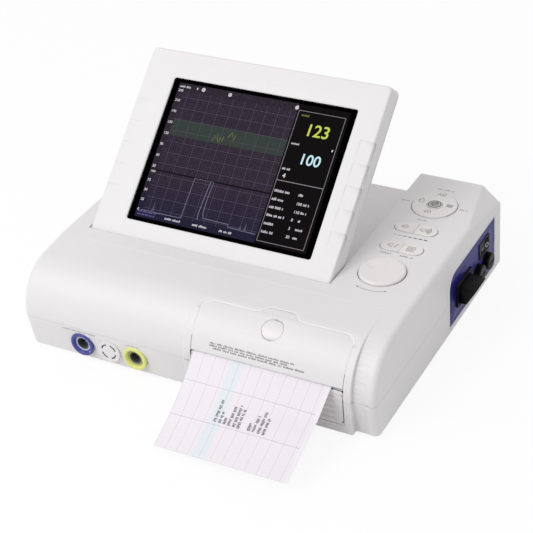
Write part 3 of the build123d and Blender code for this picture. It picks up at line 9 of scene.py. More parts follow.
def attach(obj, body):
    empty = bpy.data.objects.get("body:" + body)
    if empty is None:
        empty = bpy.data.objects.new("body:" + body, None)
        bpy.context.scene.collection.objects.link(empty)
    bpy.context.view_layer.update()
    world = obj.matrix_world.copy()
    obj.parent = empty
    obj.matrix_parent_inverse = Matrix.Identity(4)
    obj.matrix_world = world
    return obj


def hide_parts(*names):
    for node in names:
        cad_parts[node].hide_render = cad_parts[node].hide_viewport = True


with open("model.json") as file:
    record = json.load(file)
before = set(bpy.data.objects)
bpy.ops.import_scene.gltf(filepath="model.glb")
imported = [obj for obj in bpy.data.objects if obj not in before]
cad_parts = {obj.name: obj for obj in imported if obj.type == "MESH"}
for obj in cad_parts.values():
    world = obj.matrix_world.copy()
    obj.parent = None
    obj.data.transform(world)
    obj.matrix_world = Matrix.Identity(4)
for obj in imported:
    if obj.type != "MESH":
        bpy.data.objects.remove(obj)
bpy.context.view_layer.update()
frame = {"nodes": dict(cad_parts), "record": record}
mm = 0.001
print("frame loaded")


# Places and turns, in millimetres and degrees

def moved(x, y, z):
    return Matrix.Translation(Vector((x, y, z)) * mm)


def turnedBy(degrees, axis):
    return Matrix.Rotation(radians(degrees), 4, axis)


def facing(across, upwards, out):
    # A turn that takes X, Y and Z to these three directions
    return Matrix((across, upwards, out)).transposed().to_4x4()


# Camera: the photograph's angle, height and slight tilt
viewpoint = {"place": (505.6, -838.9, 697.3), "azimuth": 31.06, "elevation": 33.96, "roll": -5.37, "lens": 100.75,
             "sensor": 36}


def placeCamera():
    azimuth, elevation, roll = (radians(viewpoint[name]) for name in ("azimuth", "elevation", "roll"))
    back = Vector((sin(azimuth) * cos(elevation), -cos(azimuth) * cos(elevation), sin(elevation)))
    right = (-back).cross(Vector((0, 0, 1))).normalized()
    up = back.cross(right)
    bpy.ops.object.camera_add()
    camera = bpy.context.active_object
    camera.name = "photographCamera"
    camera.data.lens = viewpoint["lens"]
    camera.data.sensor_width = viewpoint["sensor"]
    rolled = facing(right * cos(roll) + up * sin(roll), up * cos(roll) - right * sin(roll), back)
    camera.matrix_world = moved(*viewpoint["place"]) @ rolled
    bpy.context.scene.camera = camera


placeCamera()
print("camera placed")


# Materials

def toLinear(hexColour):
    channels = [int(hexColour[i:i + 2], 16) / 255 for i in (1, 3, 5)]
    return [c / 12.92 if c <= 0.04045 else ((c + 0.055) / 1.055) ** 2.4 for c in channels] + [1.0]


def addNode(tree, kind, settings={}, links={}):
    # Settings in lower case are the node's own, the others its sockets'; a linked node gives its first output
    node = tree.nodes.new("ShaderNode" + kind)
    own = [name for name in settings if str(name)[0].islower()]
    for name in own:
        setattr(node, name, settings[name])
    for name in settings:
        if name not in own:
            node.inputs[name].default_value = settings[name]
    for name, source in links.items():
        tree.links.new(getattr(source, "outputs", [source])[0], node.inputs[name])
    return node


def startMaterial(name):
    # The material, what adds a node to it, and the place on the object
    material = bpy.data.materials.new(name)
    material.use_nodes = True
    material.node_tree.nodes.clear()
    add = partial(addNode, material.node_tree)
    return material, add, add("TexCoord").outputs["Object"]


def endMaterial(material, shader):
    addNode(material.node_tree, "OutputMaterial", {}, {"Surface": shader})
    return material


def layer(add, under, over, mask, strength=1.0):
    # Lays a colour over another as far as the mask says; each is a hex colour or comes from a node
    amount = add("Math", {"operation": "MULTIPLY", 1: strength}, {0: mask})
    mix = add("Mix", {"data_type": "RGBA"}, {0: amount})
    for socket, colour in ((mix.inputs[6], under), (mix.inputs[7], over)):
        if isinstance(colour, str):
            socket.default_value = toLinear(colour)
        else:
            mix.id_data.links.new(colour, socket)
    return mix.outputs[2]


def stripes(add, place, pitch, width):
    along = add("Math", {"operation": "MULTIPLY", 1: 1 / pitch}, {0: place})
    share = add("Math", {"operation": "FRACT"}, {0: along})
    return add("Math", {"operation": "LESS_THAN", 1: width / pitch}, {0: share})


def between(add, place, low, high):
    above = add("Math", {"operation": "GREATER_THAN", 1: low}, {0: place})
    below = add("Math", {"operation": "LESS_THAN", 1: high}, {0: place})
    return add("Math", {"operation": "MULTIPLY"}, {0: above, 1: below})


def onSheet(add, width, length):
    # The sheet's own UV map, in millimetres across and along
    uv = add("SeparateXYZ", {}, {0: add("TexCoord").outputs["UV"]})
    return [add("Math", {"operation": "MULTIPLY", 1: size}, {0: uv.outputs[i]})
            for i, size in enumerate((width, length))]


# Moulded plastics: a spark-eroded mould leaves fine grains that make the sheen soft and even
mould = {"cloud": 45, "smoother": 0.05, "rougher": 0.06, "bump": 0.35, "samples": 4}


def mouldedPlastic(name, colour, shade, roughness, grain, depth, edge, ior=1.53, coat=0.0, shine=0.5):
    # grain, depth and edge, the radius that catches light, are in millimetres
    material, add, place = startMaterial(name)
    cloud = add("TexNoise", {"Scale": 1 / (mould["cloud"] * mm), "Detail": 3.0, "Roughness": 0.55}, {"Vector": place})
    grains = add("TexNoise", {"Scale": 1 / (grain * mm), "Detail": 2.0, "Roughness": 0.6}, {"Vector": place})
    rough = add("MapRange", {"To Min": roughness - mould["smoother"], "To Max": roughness + mould["rougher"]},
                {"Value": grains})
    rounded = add("Bevel", {"samples": mould["samples"], "Radius": edge * mm})
    bump = add("Bump", {"Strength": mould["bump"], "Distance": depth * mm}, {"Height": grains, "Normal": rounded})
    shader = add("BsdfPrincipled", {"IOR": ior, "Coat Weight": coat, "Specular IOR Level": shine},
                 {"Base Color": layer(add, colour, shade, cloud), "Roughness": rough, "Normal": bump})
    return endMaterial(material, shader)


# Metals: drawn, ground or plated, with fine scratches along one axis
metalwork = {"stretch": (1.0, 12.0, 12.0), "smoother": 0.07, "rougher": 0.1, "bump": 0.2, "depth": 0.02}


def workedMetal(name, colour, roughness, scratch):
    m = metalwork
    material, add, place = startMaterial(name)
    stretched = add("Mapping", {"Scale": m["stretch"]}, {"Vector": place})
    lines = add("TexNoise", {"Scale": 1 / (scratch * mm), "Detail": 4.0}, {"Vector": stretched})
    rough = add("MapRange", {"To Min": roughness - m["smoother"], "To Max": roughness + m["rougher"]}, {"Value": lines})
    bump = add("Bump", {"Strength": m["bump"], "Distance": m["depth"] * mm}, {"Height": lines})
    shader = add("BsdfPrincipled", {"Base Color": toLinear(colour), "Metallic": 1.0},
                 {"Roughness": rough, "Normal": bump})
    return endMaterial(material, shader)


# Inks and lit marks are flat colours laid on what they are printed on, so their life is a slight mottle
inkSet = {"mottle": 1.2, "roughness": 0.6}


def printedInk(name, colour, pale, glow=0.0):
    material, add, place = startMaterial(name)
    mottle = add("TexNoise", {"Scale": 1 / (inkSet["mottle"] * mm), "Detail": 2.0}, {"Vector": place})
    tint = layer(add, colour, pale, mottle)
    if glow:
        return endMaterial(material, add("Emission", {"Strength": glow}, {"Color": tint}))
    matte = add("BsdfPrincipled", {"Roughness": inkSet["roughness"]}, {"Base Color": tint})
    return endMaterial(material, matte)


# Recorder paper: heat-sensitive coating with a faint printed grid, so it is matte and a little pink
chart = {"width": 112, "length": 84, "ground": "#ECE9EE", "blush": "#EFE6ED", "cloud": 9, "band": "#E2E8ED",
         "bandAt": (32, 43), "line": "#C9C2CC", "crossFirst": 30.5, "margin": 108.6, "edge": "#EEEBEF", "fibre": 0.8,
         # pitch and width in millimetres, then strength
         "fine": (2.4, 0.25, 0.14), "fineCross": (2.4, 0.25, 0.12), "main": (9.6, 0.5, 0.55),
         "cross": (26.6, 0.6, 0.75)}


def chartPaper():
    material, add, place = startMaterial("thermalChartPaper")
    across, along = onSheet(add, chart["width"], chart["length"])
    cloud = add("TexNoise", {"Scale": 1 / (chart["cloud"] * mm), "Detail": 4.0}, {"Vector": place})
    colour = layer(add, chart["ground"], chart["blush"], cloud)
    colour = layer(add, colour, chart["band"], between(add, across, *chart["bandAt"]))
    shifted = add("Math", {"operation": "ADD", 1: chart["cross"][0] - chart["crossFirst"]}, {0: along})
    for way, rule in ((across, "fine"), (along, "fineCross"), (across, "main"), (shifted, "cross")):
        pitch, width, strength = chart[rule]
        colour = layer(add, colour, chart["line"], stripes(add, way, pitch, width), strength)
    edge = add("Math", {"operation": "GREATER_THAN", 1: chart["margin"]}, {0: across})
    colour = layer(add, colour, chart["edge"], edge)
    fibres = add("TexNoise", {"Scale": 1 / (chart["fibre"] * mm), "Detail": 3.0}, {"Vector": place})
    bump = add("Bump", {"Strength": 0.15, "Distance": 0.05 * mm}, {"Height": fibres})
    shader = add("BsdfPrincipled", {"Roughness": 0.62, "IOR": 1.45}, {"Base Color": colour, "Normal": bump})
    return endMaterial(material, shader)


# Backlit liquid crystal: the dark picture glows by itself behind the glass and shows a fine dot raster
picture = {"low": (-98.0, 20.3), "high": (53.6, 135.4), "ground": "#2B252C", "dots": "#3A3241", "raster": 0.9,
           "column": "#151214", "chartShare": (0.0376, 0.7097), "upper": (61.2, 129.2), "lower": (26.2, 59.4),
           "deep": "#1D1F38", "deepStrength": 0.7, "band": "#37433C", "bandStrength": 0.92, "bandAt": (91.0, 105.2),
           "line": "#5A4C60", "grid": (10.25, 9.5, 0.45, 0.75), "fineGrid": (2.05, 1.9, 0.35, 0.2)}


def litPicture():
    p = picture
    material, add, place = startMaterial("backlitCrystalPicture")
    width = p["high"][0] - p["low"][0]
    across, along = onSheet(add, width, p["high"][1] - p["low"][1])
    up = add("Math", {"operation": "ADD", 1: p["low"][1]}, {0: along})
    chartFrom, chartTo = (share * width for share in p["chartShare"])
    charts = add("Math", {"operation": "ADD"}, {0: between(add, up, *p["upper"]), 1: between(add, up, *p["lower"])})
    inside = add("Math", {"operation": "MULTIPLY"}, {0: charts, 1: between(add, across, chartFrom, chartTo)})
    raster = add("TexNoise", {"Scale": 1 / (p["raster"] * mm), "Detail": 1.0, "Roughness": 0.4}, {"Vector": place})
    speck = add("MapRange", {"From Min": 0.42, "From Max": 0.62}, {"Value": raster})
    colour = layer(add, p["ground"], p["dots"], speck)
    # The lower chart is a little bluer and deeper towards its foot
    depth = add("MapRange", {"From Min": p["upper"][0], "From Max": p["lower"][0]}, {"Value": up})
    colour = layer(add, colour, p["deep"], depth, p["deepStrength"])
    column = add("Math", {"operation": "GREATER_THAN", 1: chartTo}, {0: across})
    colour = layer(add, colour, p["column"], column)
    band = add("Math", {"operation": "MULTIPLY"}, {0: between(add, up, *p["bandAt"]), 1: inside})
    colour = layer(add, colour, p["band"], band, p["bandStrength"])
    for columnPitch, rowPitch, thick, strength in (p["grid"], p["fineGrid"]):
        lines = add("Math", {"operation": "MAXIMUM"},
                    {0: stripes(add, across, columnPitch, thick), 1: stripes(add, up, rowPitch, thick)})
        lines = add("Math", {"operation": "MULTIPLY"}, {0: lines, 1: inside})
        colour = layer(add, colour, p["line"], lines, strength)
    return endMaterial(material, add("Emission", {"Strength": 1.0}, {"Color": colour}))


# Glass: dust and streaks, in millimetres, make the gloss uneven
def streakedGlass(name, colour, streak, detail, rough, own):
    material, add, place = startMaterial(name)
    streaks = add("TexNoise", {"Scale": 1 / (streak * mm), "Detail": detail}, {"Vector": place})
    gloss = add("MapRange", {"To Min": rough[0], "To Max": rough[1]}, {"Value": streaks})
    shader = add("BsdfPrincipled", {"Base Color": toLinear(colour), **own}, {"Roughness": gloss})
    return endMaterial(material, shader)


# Circuit boards: green lacquer over copper tracks, which show as lighter lines
def lacqueredBoard():
    material, add, place = startMaterial("lacqueredGlassEpoxy")
    cells = add("TexVoronoi", {"feature": "DISTANCE_TO_EDGE", "Scale": 1 / (7 * mm)}, {"Vector": place})
    track = add("Math", {"operation": "LESS_THAN", 1: 0.05}, {0: cells.outputs["Distance"]})
    shader = add("BsdfPrincipled", {"Roughness": 0.28, "IOR": 1.5},
                 {"Base Color": layer(add, "#14532E", "#2C7A45", track)})
    return endMaterial(material, shader)


# Socket inserts: dark thermoset with a moulded ring at the mouth, pale in the blue socket and olive in the yellow one;
# inside the ring the face carries painted shade that stands for the hole
# The hole and floor colours are the dark and the lighter end of the painted shade inside the ring
sockets = {"middle": -74.5, "apart": 24.0, "height": 17.0, "ringFrom": 5.2, "soft": 0.15, "hole": "#0D0E10",
           "floor": "#4B4E50", "floorFrom": 3.0, "floorTo": -4.5, "blueRing": "#C3C5E6", "yellowRing": "#A5A672",
           "grain": 0.6}


def socketInsert():
    s = sockets
    material, add, place = startMaterial("darkThermosetInsert")
    spot = add("SeparateXYZ", {}, {0: place})
    fromMiddle = add("Math", {"operation": "SUBTRACT", 1: s["middle"] * mm}, {0: spot.outputs[0]})
    side = add("Math", {"operation": "ABSOLUTE"}, {0: fromMiddle})
    x = add("Math", {"operation": "SUBTRACT", 1: s["apart"] * mm}, {0: side})
    z = add("Math", {"operation": "SUBTRACT", 1: s["height"] * mm}, {0: spot.outputs[2]})
    flat = add("CombineXYZ", {}, {0: x, 1: z})
    away = add("VectorMath", {"operation": "LENGTH"}, {0: flat}).outputs["Value"]
    onYellow = add("Math", {"operation": "GREATER_THAN", 1: 0}, {0: fromMiddle})
    inRing = add("MapRange", {"From Min": (s["ringFrom"] - s["soft"]) * mm,
                              "From Max": (s["ringFrom"] + s["soft"]) * mm}, {"Value": away})
    # Inside the ring the painted shade gets lighter towards the low side, where light falls in
    low = add("MapRange", {"From Min": s["floorFrom"] * mm, "From Max": s["floorTo"] * mm}, {"Value": z})
    colour = layer(add, layer(add, s["hole"], s["floor"], low),
                   layer(add, s["blueRing"], s["yellowRing"], onYellow), inRing)
    grains = add("TexNoise", {"Scale": 1 / (s["grain"] * mm), "Detail": 2.0}, {"Vector": place})
    rough = add("MapRange", {"To Min": 0.36, "To Max": 0.48}, {"Value": grains})
    shader = add("BsdfPrincipled", {"IOR": 1.55}, {"Base Color": colour, "Roughness": rough})
    return endMaterial(material, shader)


# Violet side plate: ABS with a satin skin, and painted shadow that darkens it near the inlet
plate = {"light": "#403E7F", "deep": "#131160", "cloud": 12, "cloudShare": 0.16, "grain": 0.6,
         # where the painted shadow falls: from and to along Y at the front, then along Z from below and from above
         "front": (1, 52, 45), "below": (2, 17, 23), "above": (2, 49.5, 46)}


def violetPlate():
    material, add, place = startMaterial("violetAbsPlate")
    spot = add("SeparateXYZ", {}, {0: place})
    front, below, above = [add("MapRange", {"interpolation_type": "SMOOTHSTEP", "From Min": start * mm,
                                            "From Max": end * mm}, {"Value": spot.outputs[axis]})
                           for axis, start, end in (plate["front"], plate["below"], plate["above"])]
    shadowBelt = add("Math", {"operation": "MULTIPLY"}, {0: below, 1: above})
    # Painted shadow: strongest where the band in Z meets the band at the front
    deep = add("Math", {"operation": "MULTIPLY"}, {0: shadowBelt, 1: front})
    cloud = add("TexNoise", {"Scale": 1 / (plate["cloud"] * mm), "Detail": 2.0}, {"Vector": place})
    mottle = add("Math", {"operation": "MULTIPLY", 1: plate["cloudShare"]}, {0: cloud})
    share = add("Math", {"operation": "MAXIMUM"}, {0: deep, 1: mottle})
    grains = add("TexNoise", {"Scale": 1 / (plate["grain"] * mm), "Detail": 2.0}, {"Vector": place})
    bump = add("Bump", {"Strength": 0.3, "Distance": 0.03 * mm}, {"Height": grains})
    shader = add("BsdfPrincipled", {"Roughness": 0.4, "IOR": 1.5, "Specular IOR Level": 0.14},
                 {"Base Color": layer(add, plate["light"], plate["deep"], share), "Normal": bump})
    return endMaterial(material, shader)


finishes = {
    # ABS, white with a little grey: soft sheen, edges catch a thin light
    "case": mouldedPlastic("sparkTexturedAbs", "#E6E4E4", "#E2E0E1", 0.46, 0.7, 0.05, 0.5),
    # The same ABS from a smoother mould, so keys look a touch cleaner
    "keys": mouldedPlastic("fineTexturedAbs", "#E9E6E5", "#E5E3E2", 0.38, 0.5, 0.03, 0.45),
    "panel": violetPlate(),
    # Glass-filled nylon: black, dull, slightly grey at the edges
    "black": mouldedPlastic("blackNylon", "#0D0D0F", "#08080A", 0.5, 0.6, 0.05, 0.35, shine=0.16),
    # Unpainted mechanism plastic: a warm, dull grey
    "inner": mouldedPlastic("naturalPbt", "#BFBEB8", "#B4B3AD", 0.5, 0.8, 0.04, 0.3),
    # Dyed polycarbonate rings: clean gloss
    "blue": mouldedPlastic("bluePolycarbonate", "#3A4296", "#333A8A", 0.28, 0.9, 0.02, 0.35, coat=0.1),
    "yellow": mouldedPlastic("yellowPolycarbonate", "#E4E78A", "#DDE07C", 0.25, 0.9, 0.02, 0.35, coat=0.15),
    "insert": socketInsert(),
    # Glass with black back-printing: near black, with no bright reflection in this soft light
    "screen_glass": streakedGlass("backPrintedGlass", "#020203", 14, 3.0, (0.2, 0.3),
                                  {"IOR": 1.5, "Specular IOR Level": 0.0}),
    # Blackened sheet steel behind the glass: hardly seen, it only closes the gap
    "display": mouldedPlastic("lampBlackSteel", "#232326", "#1C1C1F", 0.45, 0.8, 0.02, 0.2),
    "picture": litPicture(),
    "board": lacqueredBoard(),
    # Inside parts: dull epoxy, soft and ground rubber, varnish, and metals with a brushed glint
    "chips": mouldedPlastic("epoxyMouldedChips", "#222224", "#1B1B1D", 0.55, 0.5, 0.03, 0.15),
    "rubber": mouldedPlastic("castRubber", "#2A2A2B", "#232324", 0.75, 0.8, 0.08, 0.4),
    "platen": mouldedPlastic("groundRollerRubber", "#3A3A3C", "#333335", 0.7, 0.4, 0.05, 0.2),
    "iron": mouldedPlastic("varnishedCoreIron", "#3B3430", "#332D2A", 0.4, 1.0, 0.08, 0.2),
    "steel": workedMetal("zincPlatedSteel", "#B9BBBE", 0.32, 1.5),
    "alloy": workedMetal("diecastAluminium", "#B5B7BA", 0.42, 2.0),
    "brass": workedMetal("turnedBrass", "#D2B26A", 0.25, 1.0),
    # Fuse glass: clear, thin and slightly green
    "fuse_glass": streakedGlass("clearFuseGlass", "#DCEBE6", 6, 2.0, (0.03, 0.1),
                                {"IOR": 1.47, "Transmission Weight": 0.85}),
    # Paper: the blank pack is matte, the strip shows its grid
    "paper": mouldedPlastic("foldedChartPaper", "#F4F0F3", "#EFE9EE", 0.7, 0.9, 0.05, 0.1, ior=1.4),
    "chart": chartPaper(),
}
inks = {
    # Pad-printed legends: matte, grey to slate
    "legend": ("padPrintedGrey", "#858280", "#979492"),
    "legendDark": ("padPrintedSlate", "#565453", "#636160"),
    "legendViolet": ("padPrintedViolet", "#A79BB4", "#B8ADC4"),
    "okDisc": ("padPrintedSilver", "#BDB9B6", "#B2AEAB"),
    "lightBlue": ("padPrintedPaleBlue", "#AEB5E8", "#9CA4DE"),
    # Pale lines whose near-white colour is a painted highlight, and painted shade for narrow gaps
    "filler": ("paleSeamFiller", "#EFEDEC", "#EAE8E7"),
    "edge": ("whiteEdgeFiller", "#FBFAF9", "#F6F5F4"),
    "lip": ("lavenderLip", "#F8F5FF", "#F2EEFC"),
    "slots": ("shadowBlack", "#0C0C0D", "#161617"),
    # Grey rim arcs and moulded-in marks on the black parts, and the recorder's print
    "capGrey": ("wornCapGrey", "#7C7F81", "#606365"),
    "white": ("mouldedInWhite", "#DCDCDC", "#CFCFCF"),
    "thermal": ("thermalPrint", "#2B292E", "#4C4A50"),
    # Marks on the display glow with it
    "lime": ("litLime", "#CEDB62", "#C2CF55", 1.0),
    "ice": ("litIce", "#CFF2F8", "#BEE6EE", 1.0),
    "pale": ("litPale", "#DAD6DE", "#C6C2CC", 1.0),
    "frame": ("litFrame", "#9A969C", "#8B878E", 1.0),
    "trace": ("litTrace", "#85869A", "#6E6F85", 1.0),
    "violet": ("litViolet", "#6A679C", "#55527F", 1.0),
    "unlit": ("unlitBlack", "#1A161D", "#151218", 1.0),
    "olive": ("litOlive", "#86954C", "#6B7A3C", 1.0),
}
for key, ink in inks.items():
    finishes[key] = printedInk(*ink)
print("materials ready")


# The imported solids, each as one smooth skin
skins = {"mergeWithin": 0.002, "smoothUnder": 32, "madeHere": ("paper_strip",)}
bodyOf = {node: body for body, nodes in frame["record"]["behaviour"]["bodies"].items() for node in nodes}
slotOf = {part["node"]: part["material_slot"] for part in frame["record"]["subparts"]}


def selectOnly(piece):
    if bpy.context.object and bpy.context.object.mode != "OBJECT":
        bpy.ops.object.mode_set(mode="OBJECT")
    bpy.ops.object.select_all(action="DESELECT")
    piece.select_set(True)
    bpy.context.view_layer.objects.active = piece


def giveFinish(piece, finish):
    piece.data.materials.clear()
    piece.data.materials.append(finishes[finish])


def handOver(piece, finish, body):
    giveFinish(piece, finish)
    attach(piece, body)


def skinFrom(node):
    words = node.split("_")
    name = words[0] + "".join(word.capitalize() for word in words[1:])
    skin = bpy.data.objects.new(name, frame["nodes"][node].data.copy())
    bpy.context.scene.collection.objects.link(skin)
    selectOnly(skin)
    bpy.ops.object.mode_set(mode="EDIT")
    bpy.ops.mesh.select_all(action="SELECT")
    bpy.ops.mesh.remove_doubles(threshold=skins["mergeWithin"] * mm)
    bpy.ops.object.mode_set(mode="OBJECT")
    bpy.ops.object.shade_smooth_by_angle(angle=radians(skins["smoothUnder"]))
    bpy.ops.object.modifier_add(type="WEIGHTED_NORMAL")
    skin.modifiers[-1].keep_sharp = True
    bpy.ops.object.modifier_apply(modifier=skin.modifiers[-1].name)
    handOver(skin, slotOf[node], bodyOf[node])
    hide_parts(node)
    return skin


made = {node: skinFrom(node) for node in sorted(frame["nodes"]) if node not in skins["madeHere"]}


# Blank plug: the faces in the four arcs cut in it get painted shade
blank = {"x": -74.0, "z": 17.0, "face": -118.9, "facing": -0.9, "arcRadius": 6.2, "arcHalf": 0.7}


def darkenArcs(plug):
    plug.data.materials.append(finishes["slots"])
    for face in plug.data.polygons:
        middle = face.center / mm
        away = sqrt((middle.x - blank["x"]) ** 2 + (middle.z - blank["z"]) ** 2)
        onFace = face.normal.y < blank["facing"] and middle.y < blank["face"]
        if abs(away - blank["arcRadius"]) < blank["arcHalf"] and not onFace:
            face.material_index = 1


darkenArcs(made["blank_plug"])
print("skins made")


# Drawn lines. Points are in millimetres; a surface is (plane, body, slot)

def flatOn(height):
    return moved(0, 0, height)


def strokeMesh(name, lines, radius, roundness=0, capped=True, closed=False):
    curve = bpy.data.curves.new(name, "CURVE")
    curve.dimensions = "3D"
    curve.bevel_depth = radius * mm
    curve.bevel_resolution = roundness
    curve.use_fill_caps = capped
    for spots in lines:
        line = curve.splines.new("POLY")
        line.points.add(len(spots) - 1)
        line.use_cyclic_u = closed
        for point, spot in zip(line.points, spots):
            x, y, z = (*spot, 0)[:3]
            point.co = (x * mm, y * mm, z * mm, 1)
    rods = bpy.data.objects.new(name, curve)
    bpy.context.scene.collection.objects.link(rods)
    selectOnly(rods)
    bpy.ops.object.convert(target="MESH")
    return bpy.context.active_object


def joined(pieces, name):
    selectOnly(pieces[0])
    for piece in pieces:
        piece.select_set(True)
    if len(pieces) > 1:
        bpy.ops.object.join()
    pieces[0].name = name
    return pieces[0]


def drawStrokes(name, strokes, width, surface, finish, closed=False, height=0.06):
    # Icons, rules and dashes like lettering: strokes with a flat, thin body
    plane, body, slot = surface
    piece = strokeMesh(name, strokes, width / 2, closed=closed)
    piece.scale = (1, 1, height / width)
    bpy.ops.object.transform_apply(location=False, rotation=False, scale=True)
    piece.data.transform(plane)
    handOver(piece, finish, body)


def drawRods(name, rods, finish, body):
    # Round strokes through points in space; rods: (radius, points)
    piece = joined([strokeMesh(name, [spots], radius, 1) for radius, spots in rods], name)
    handOver(piece, finish, body)


def arc(x, y, r, start, end, steps=16):
    spots = [radians(start + (end - start) * i / steps) for i in range(steps + 1)]
    return [(x + r * cos(a), y + r * sin(a)) for a in spots]


capitalShare = 0.69                   # of the type size


def writeFigures(name, words, surface, finish, lean=0.0, bold=0.0):
    # words: (text, x of the left end, y of the foot, height)
    plane, body, slot = surface
    letters = []
    for text, x, y, size in words:
        bpy.ops.object.text_add()
        letter = bpy.context.active_object
        letter.data.body = text
        letter.data.size = size / capitalShare * mm
        letter.data.shear = lean
        letter.data.offset = bold * mm
        bpy.ops.object.convert(target="MESH")
        letter = bpy.context.active_object
        letter.data.transform(moved(x, y, 0))
        letters.append(letter)
    piece = joined(letters, name)
    piece.data.transform(plane)
    handOver(piece, finish, body)


dashSet = {"word": (3, 8), "low": 0.62, "barChance": 0.5, "barShare": 0.5}


def dashedWords(seed, x, end, y, height, pitch=1.0):
    # Unreadable lettering: groups of short upright ticks with gaps between words
    d = dashSet
    rng = random.Random(seed)
    strokes = []
    left = rng.randint(*d["word"])
    while x < end:
        if left == 0:
            left = rng.randint(*d["word"])
            x += pitch
            continue
        tall = height * rng.uniform(d["low"], 1.0)
        strokes.append([(x, y), (x, y + tall)])
        if rng.random() < d["barChance"]:
            strokes.append([(x, y + tall * d["barShare"]), (x + pitch * d["barShare"], y + tall * d["barShare"])])
        x += pitch
        left -= 1
    return strokes


def dashedLines(lines):
    return [stroke for line in lines for stroke in dashedWords(*line)]


# Display: the lit picture just above the window glass, and the marks on it, on the tilted head
screen = {"hinge": (0, -41.7, 62.8), "tilt": 40.4, "glass": 7.25, "lift": 0.04, "thin": 0.42, "line": 0.55,
          "dash": 0.62, "labelDash": 0.5, "gap": 1.0, "icon": 1.2}
onHead = moved(*screen["hinge"]) @ turnedBy(screen["tilt"], "X")
onPicture = (onHead @ flatOn(screen["glass"] + screen["lift"]), "screen_head", "display")

column = {"left": 11.2, "right": 51.0, "top": 130.3, "split": 72.5, "foot": 22.8, "names": 12.8, "figures": 33.4,
          "units": 39.6, "nameTall": 2.2, "unitTall": 2.0, "figureTall": 2.2, "figureDrop": 0.2}
rows = [(63.0, "", 13, 0), (56.2, "190", 10, 5), (49.6, "110", 11.5, 5), (43.1, "0", 15, 1.5), (36.3, "3", 8.5, 6),
        (29.6, "30", 10, 4)]          # foot, figure, length of the name and of the unit
axis = {"left": -97.2, "tall": 2.0, "bold": 0.07}
axisNumbers = {"240": 128.0, "210": 119.5, "180": 110.0, "150": 100.5, "120": 91.0, "90": 81.4, "60": 71.9, "30": 62.6,
               "100": 58.2, "75": 50.5, "50": 42.3, "25": 34.0, "0": 25.6}
rates = {"largeRate": (("123", 21.2, 111.2, 9.6), "lime", 0.16), "smallRate": (("100", 23.8, 88.2, 8.4), "ice", 0.16),
         "countFigure": (("4", 14.8, 75.0, 3.6), "pale", 0.1)}
rateLean = 0.03
chartGap = [(-97.4, 60.4), (10.2, 60.4)]
pressureTrace = [(-94, 26.2), (-84.2, 26.6), (-83.6, 34.6), (-82.6, 26.2), (-78, 26.2), (-57.6, 26.6), (-56.8, 60.0),
                 (-39.6, 60.2), (-40.4, 44.0), (-40.0, 34.0), (-38.6, 30.2), (-16.2, 29.8), (-15.6, 27.6), (-6.2, 27.4),
                 (-5.4, 30.4), (-4.6, 27.0), (-1.8, 27.2), (-1.2, 33.6), (-0.6, 27.2), (8.2, 26.9)]
secondTrace = [(-42.2, 60.0), (-43.4, 44.0), (-43.8, 33.0), (-43.2, 28.2)]
heartTraces = [[(-53.5, 92.8), (-52.0, 97.6), (-51.2, 95.0), (-49.6, 99.8), (-49.0, 94.2), (-47.8, 92.4),
                (-46.6, 97.2)],
               [(-45.0, 93.2), (-44.2, 98.0)], [(-40.6, 97.2), (-39.4, 100.4), (-38.0, 102.6), (-37.2, 98.6)],
               [(-35.2, 96.4), (-34.6, 100.8)]]
# Dashed labels: seed, from, to, foot, height
smallLabels = [(41, 33.4, 37.0, 63.0, 2.2), (42, 13.8, 20.8, 102.4, 1.8), (43, 13.0, 20.0, 81.4, 1.8),
               (44, -70.5, -56.5, 22.6, 1.9), (45, -45.6, -32.6, 22.6, 1.9), (46, -21.6, -11.6, 22.6, 1.9),
               (47, -96.6, -87.0, 131.6, 1.8)]
rateLabel = (48, 14.6, 20.8, 126.0, 1.9)
curveNotes = [(7, -95.8, -78.4, 24.6, 1.5, 0.8), (8, -95.8, -80.2, 22.2, 1.5, 0.8)]
topIcons = [arc(-75.2, 132.6, 1.1, 0, 360) + [(-75.2, 131.0)], arc(-50.9, 132.4, 1.0, 0, 360),
            arc(8.6, 131.9, 1.0, 0, 360), [(8.6, 131.2), (9.2, 133.8)], [(-80.8, 131.8), (-80.8, 133.4)],
            [(48.3, 102.2), (48.5, 103.8)]]


def displayPicture():
    (left, foot), (right, top) = picture["low"], picture["high"]
    bpy.ops.object.select_all(action="DESELECT")
    bpy.ops.mesh.primitive_plane_add(size=1, calc_uvs=True)
    sheet = bpy.context.active_object
    sheet.name = "displayPicture"
    sheet.scale = ((right - left) * mm, (top - foot) * mm, 1)
    bpy.ops.object.transform_apply(location=False, rotation=False, scale=True)
    sheet.data.transform(onHead @ flatOn(screen["glass"]) @ moved((left + right) / 2, (foot + top) / 2, 0))
    handOver(sheet, "picture", "screen_head")


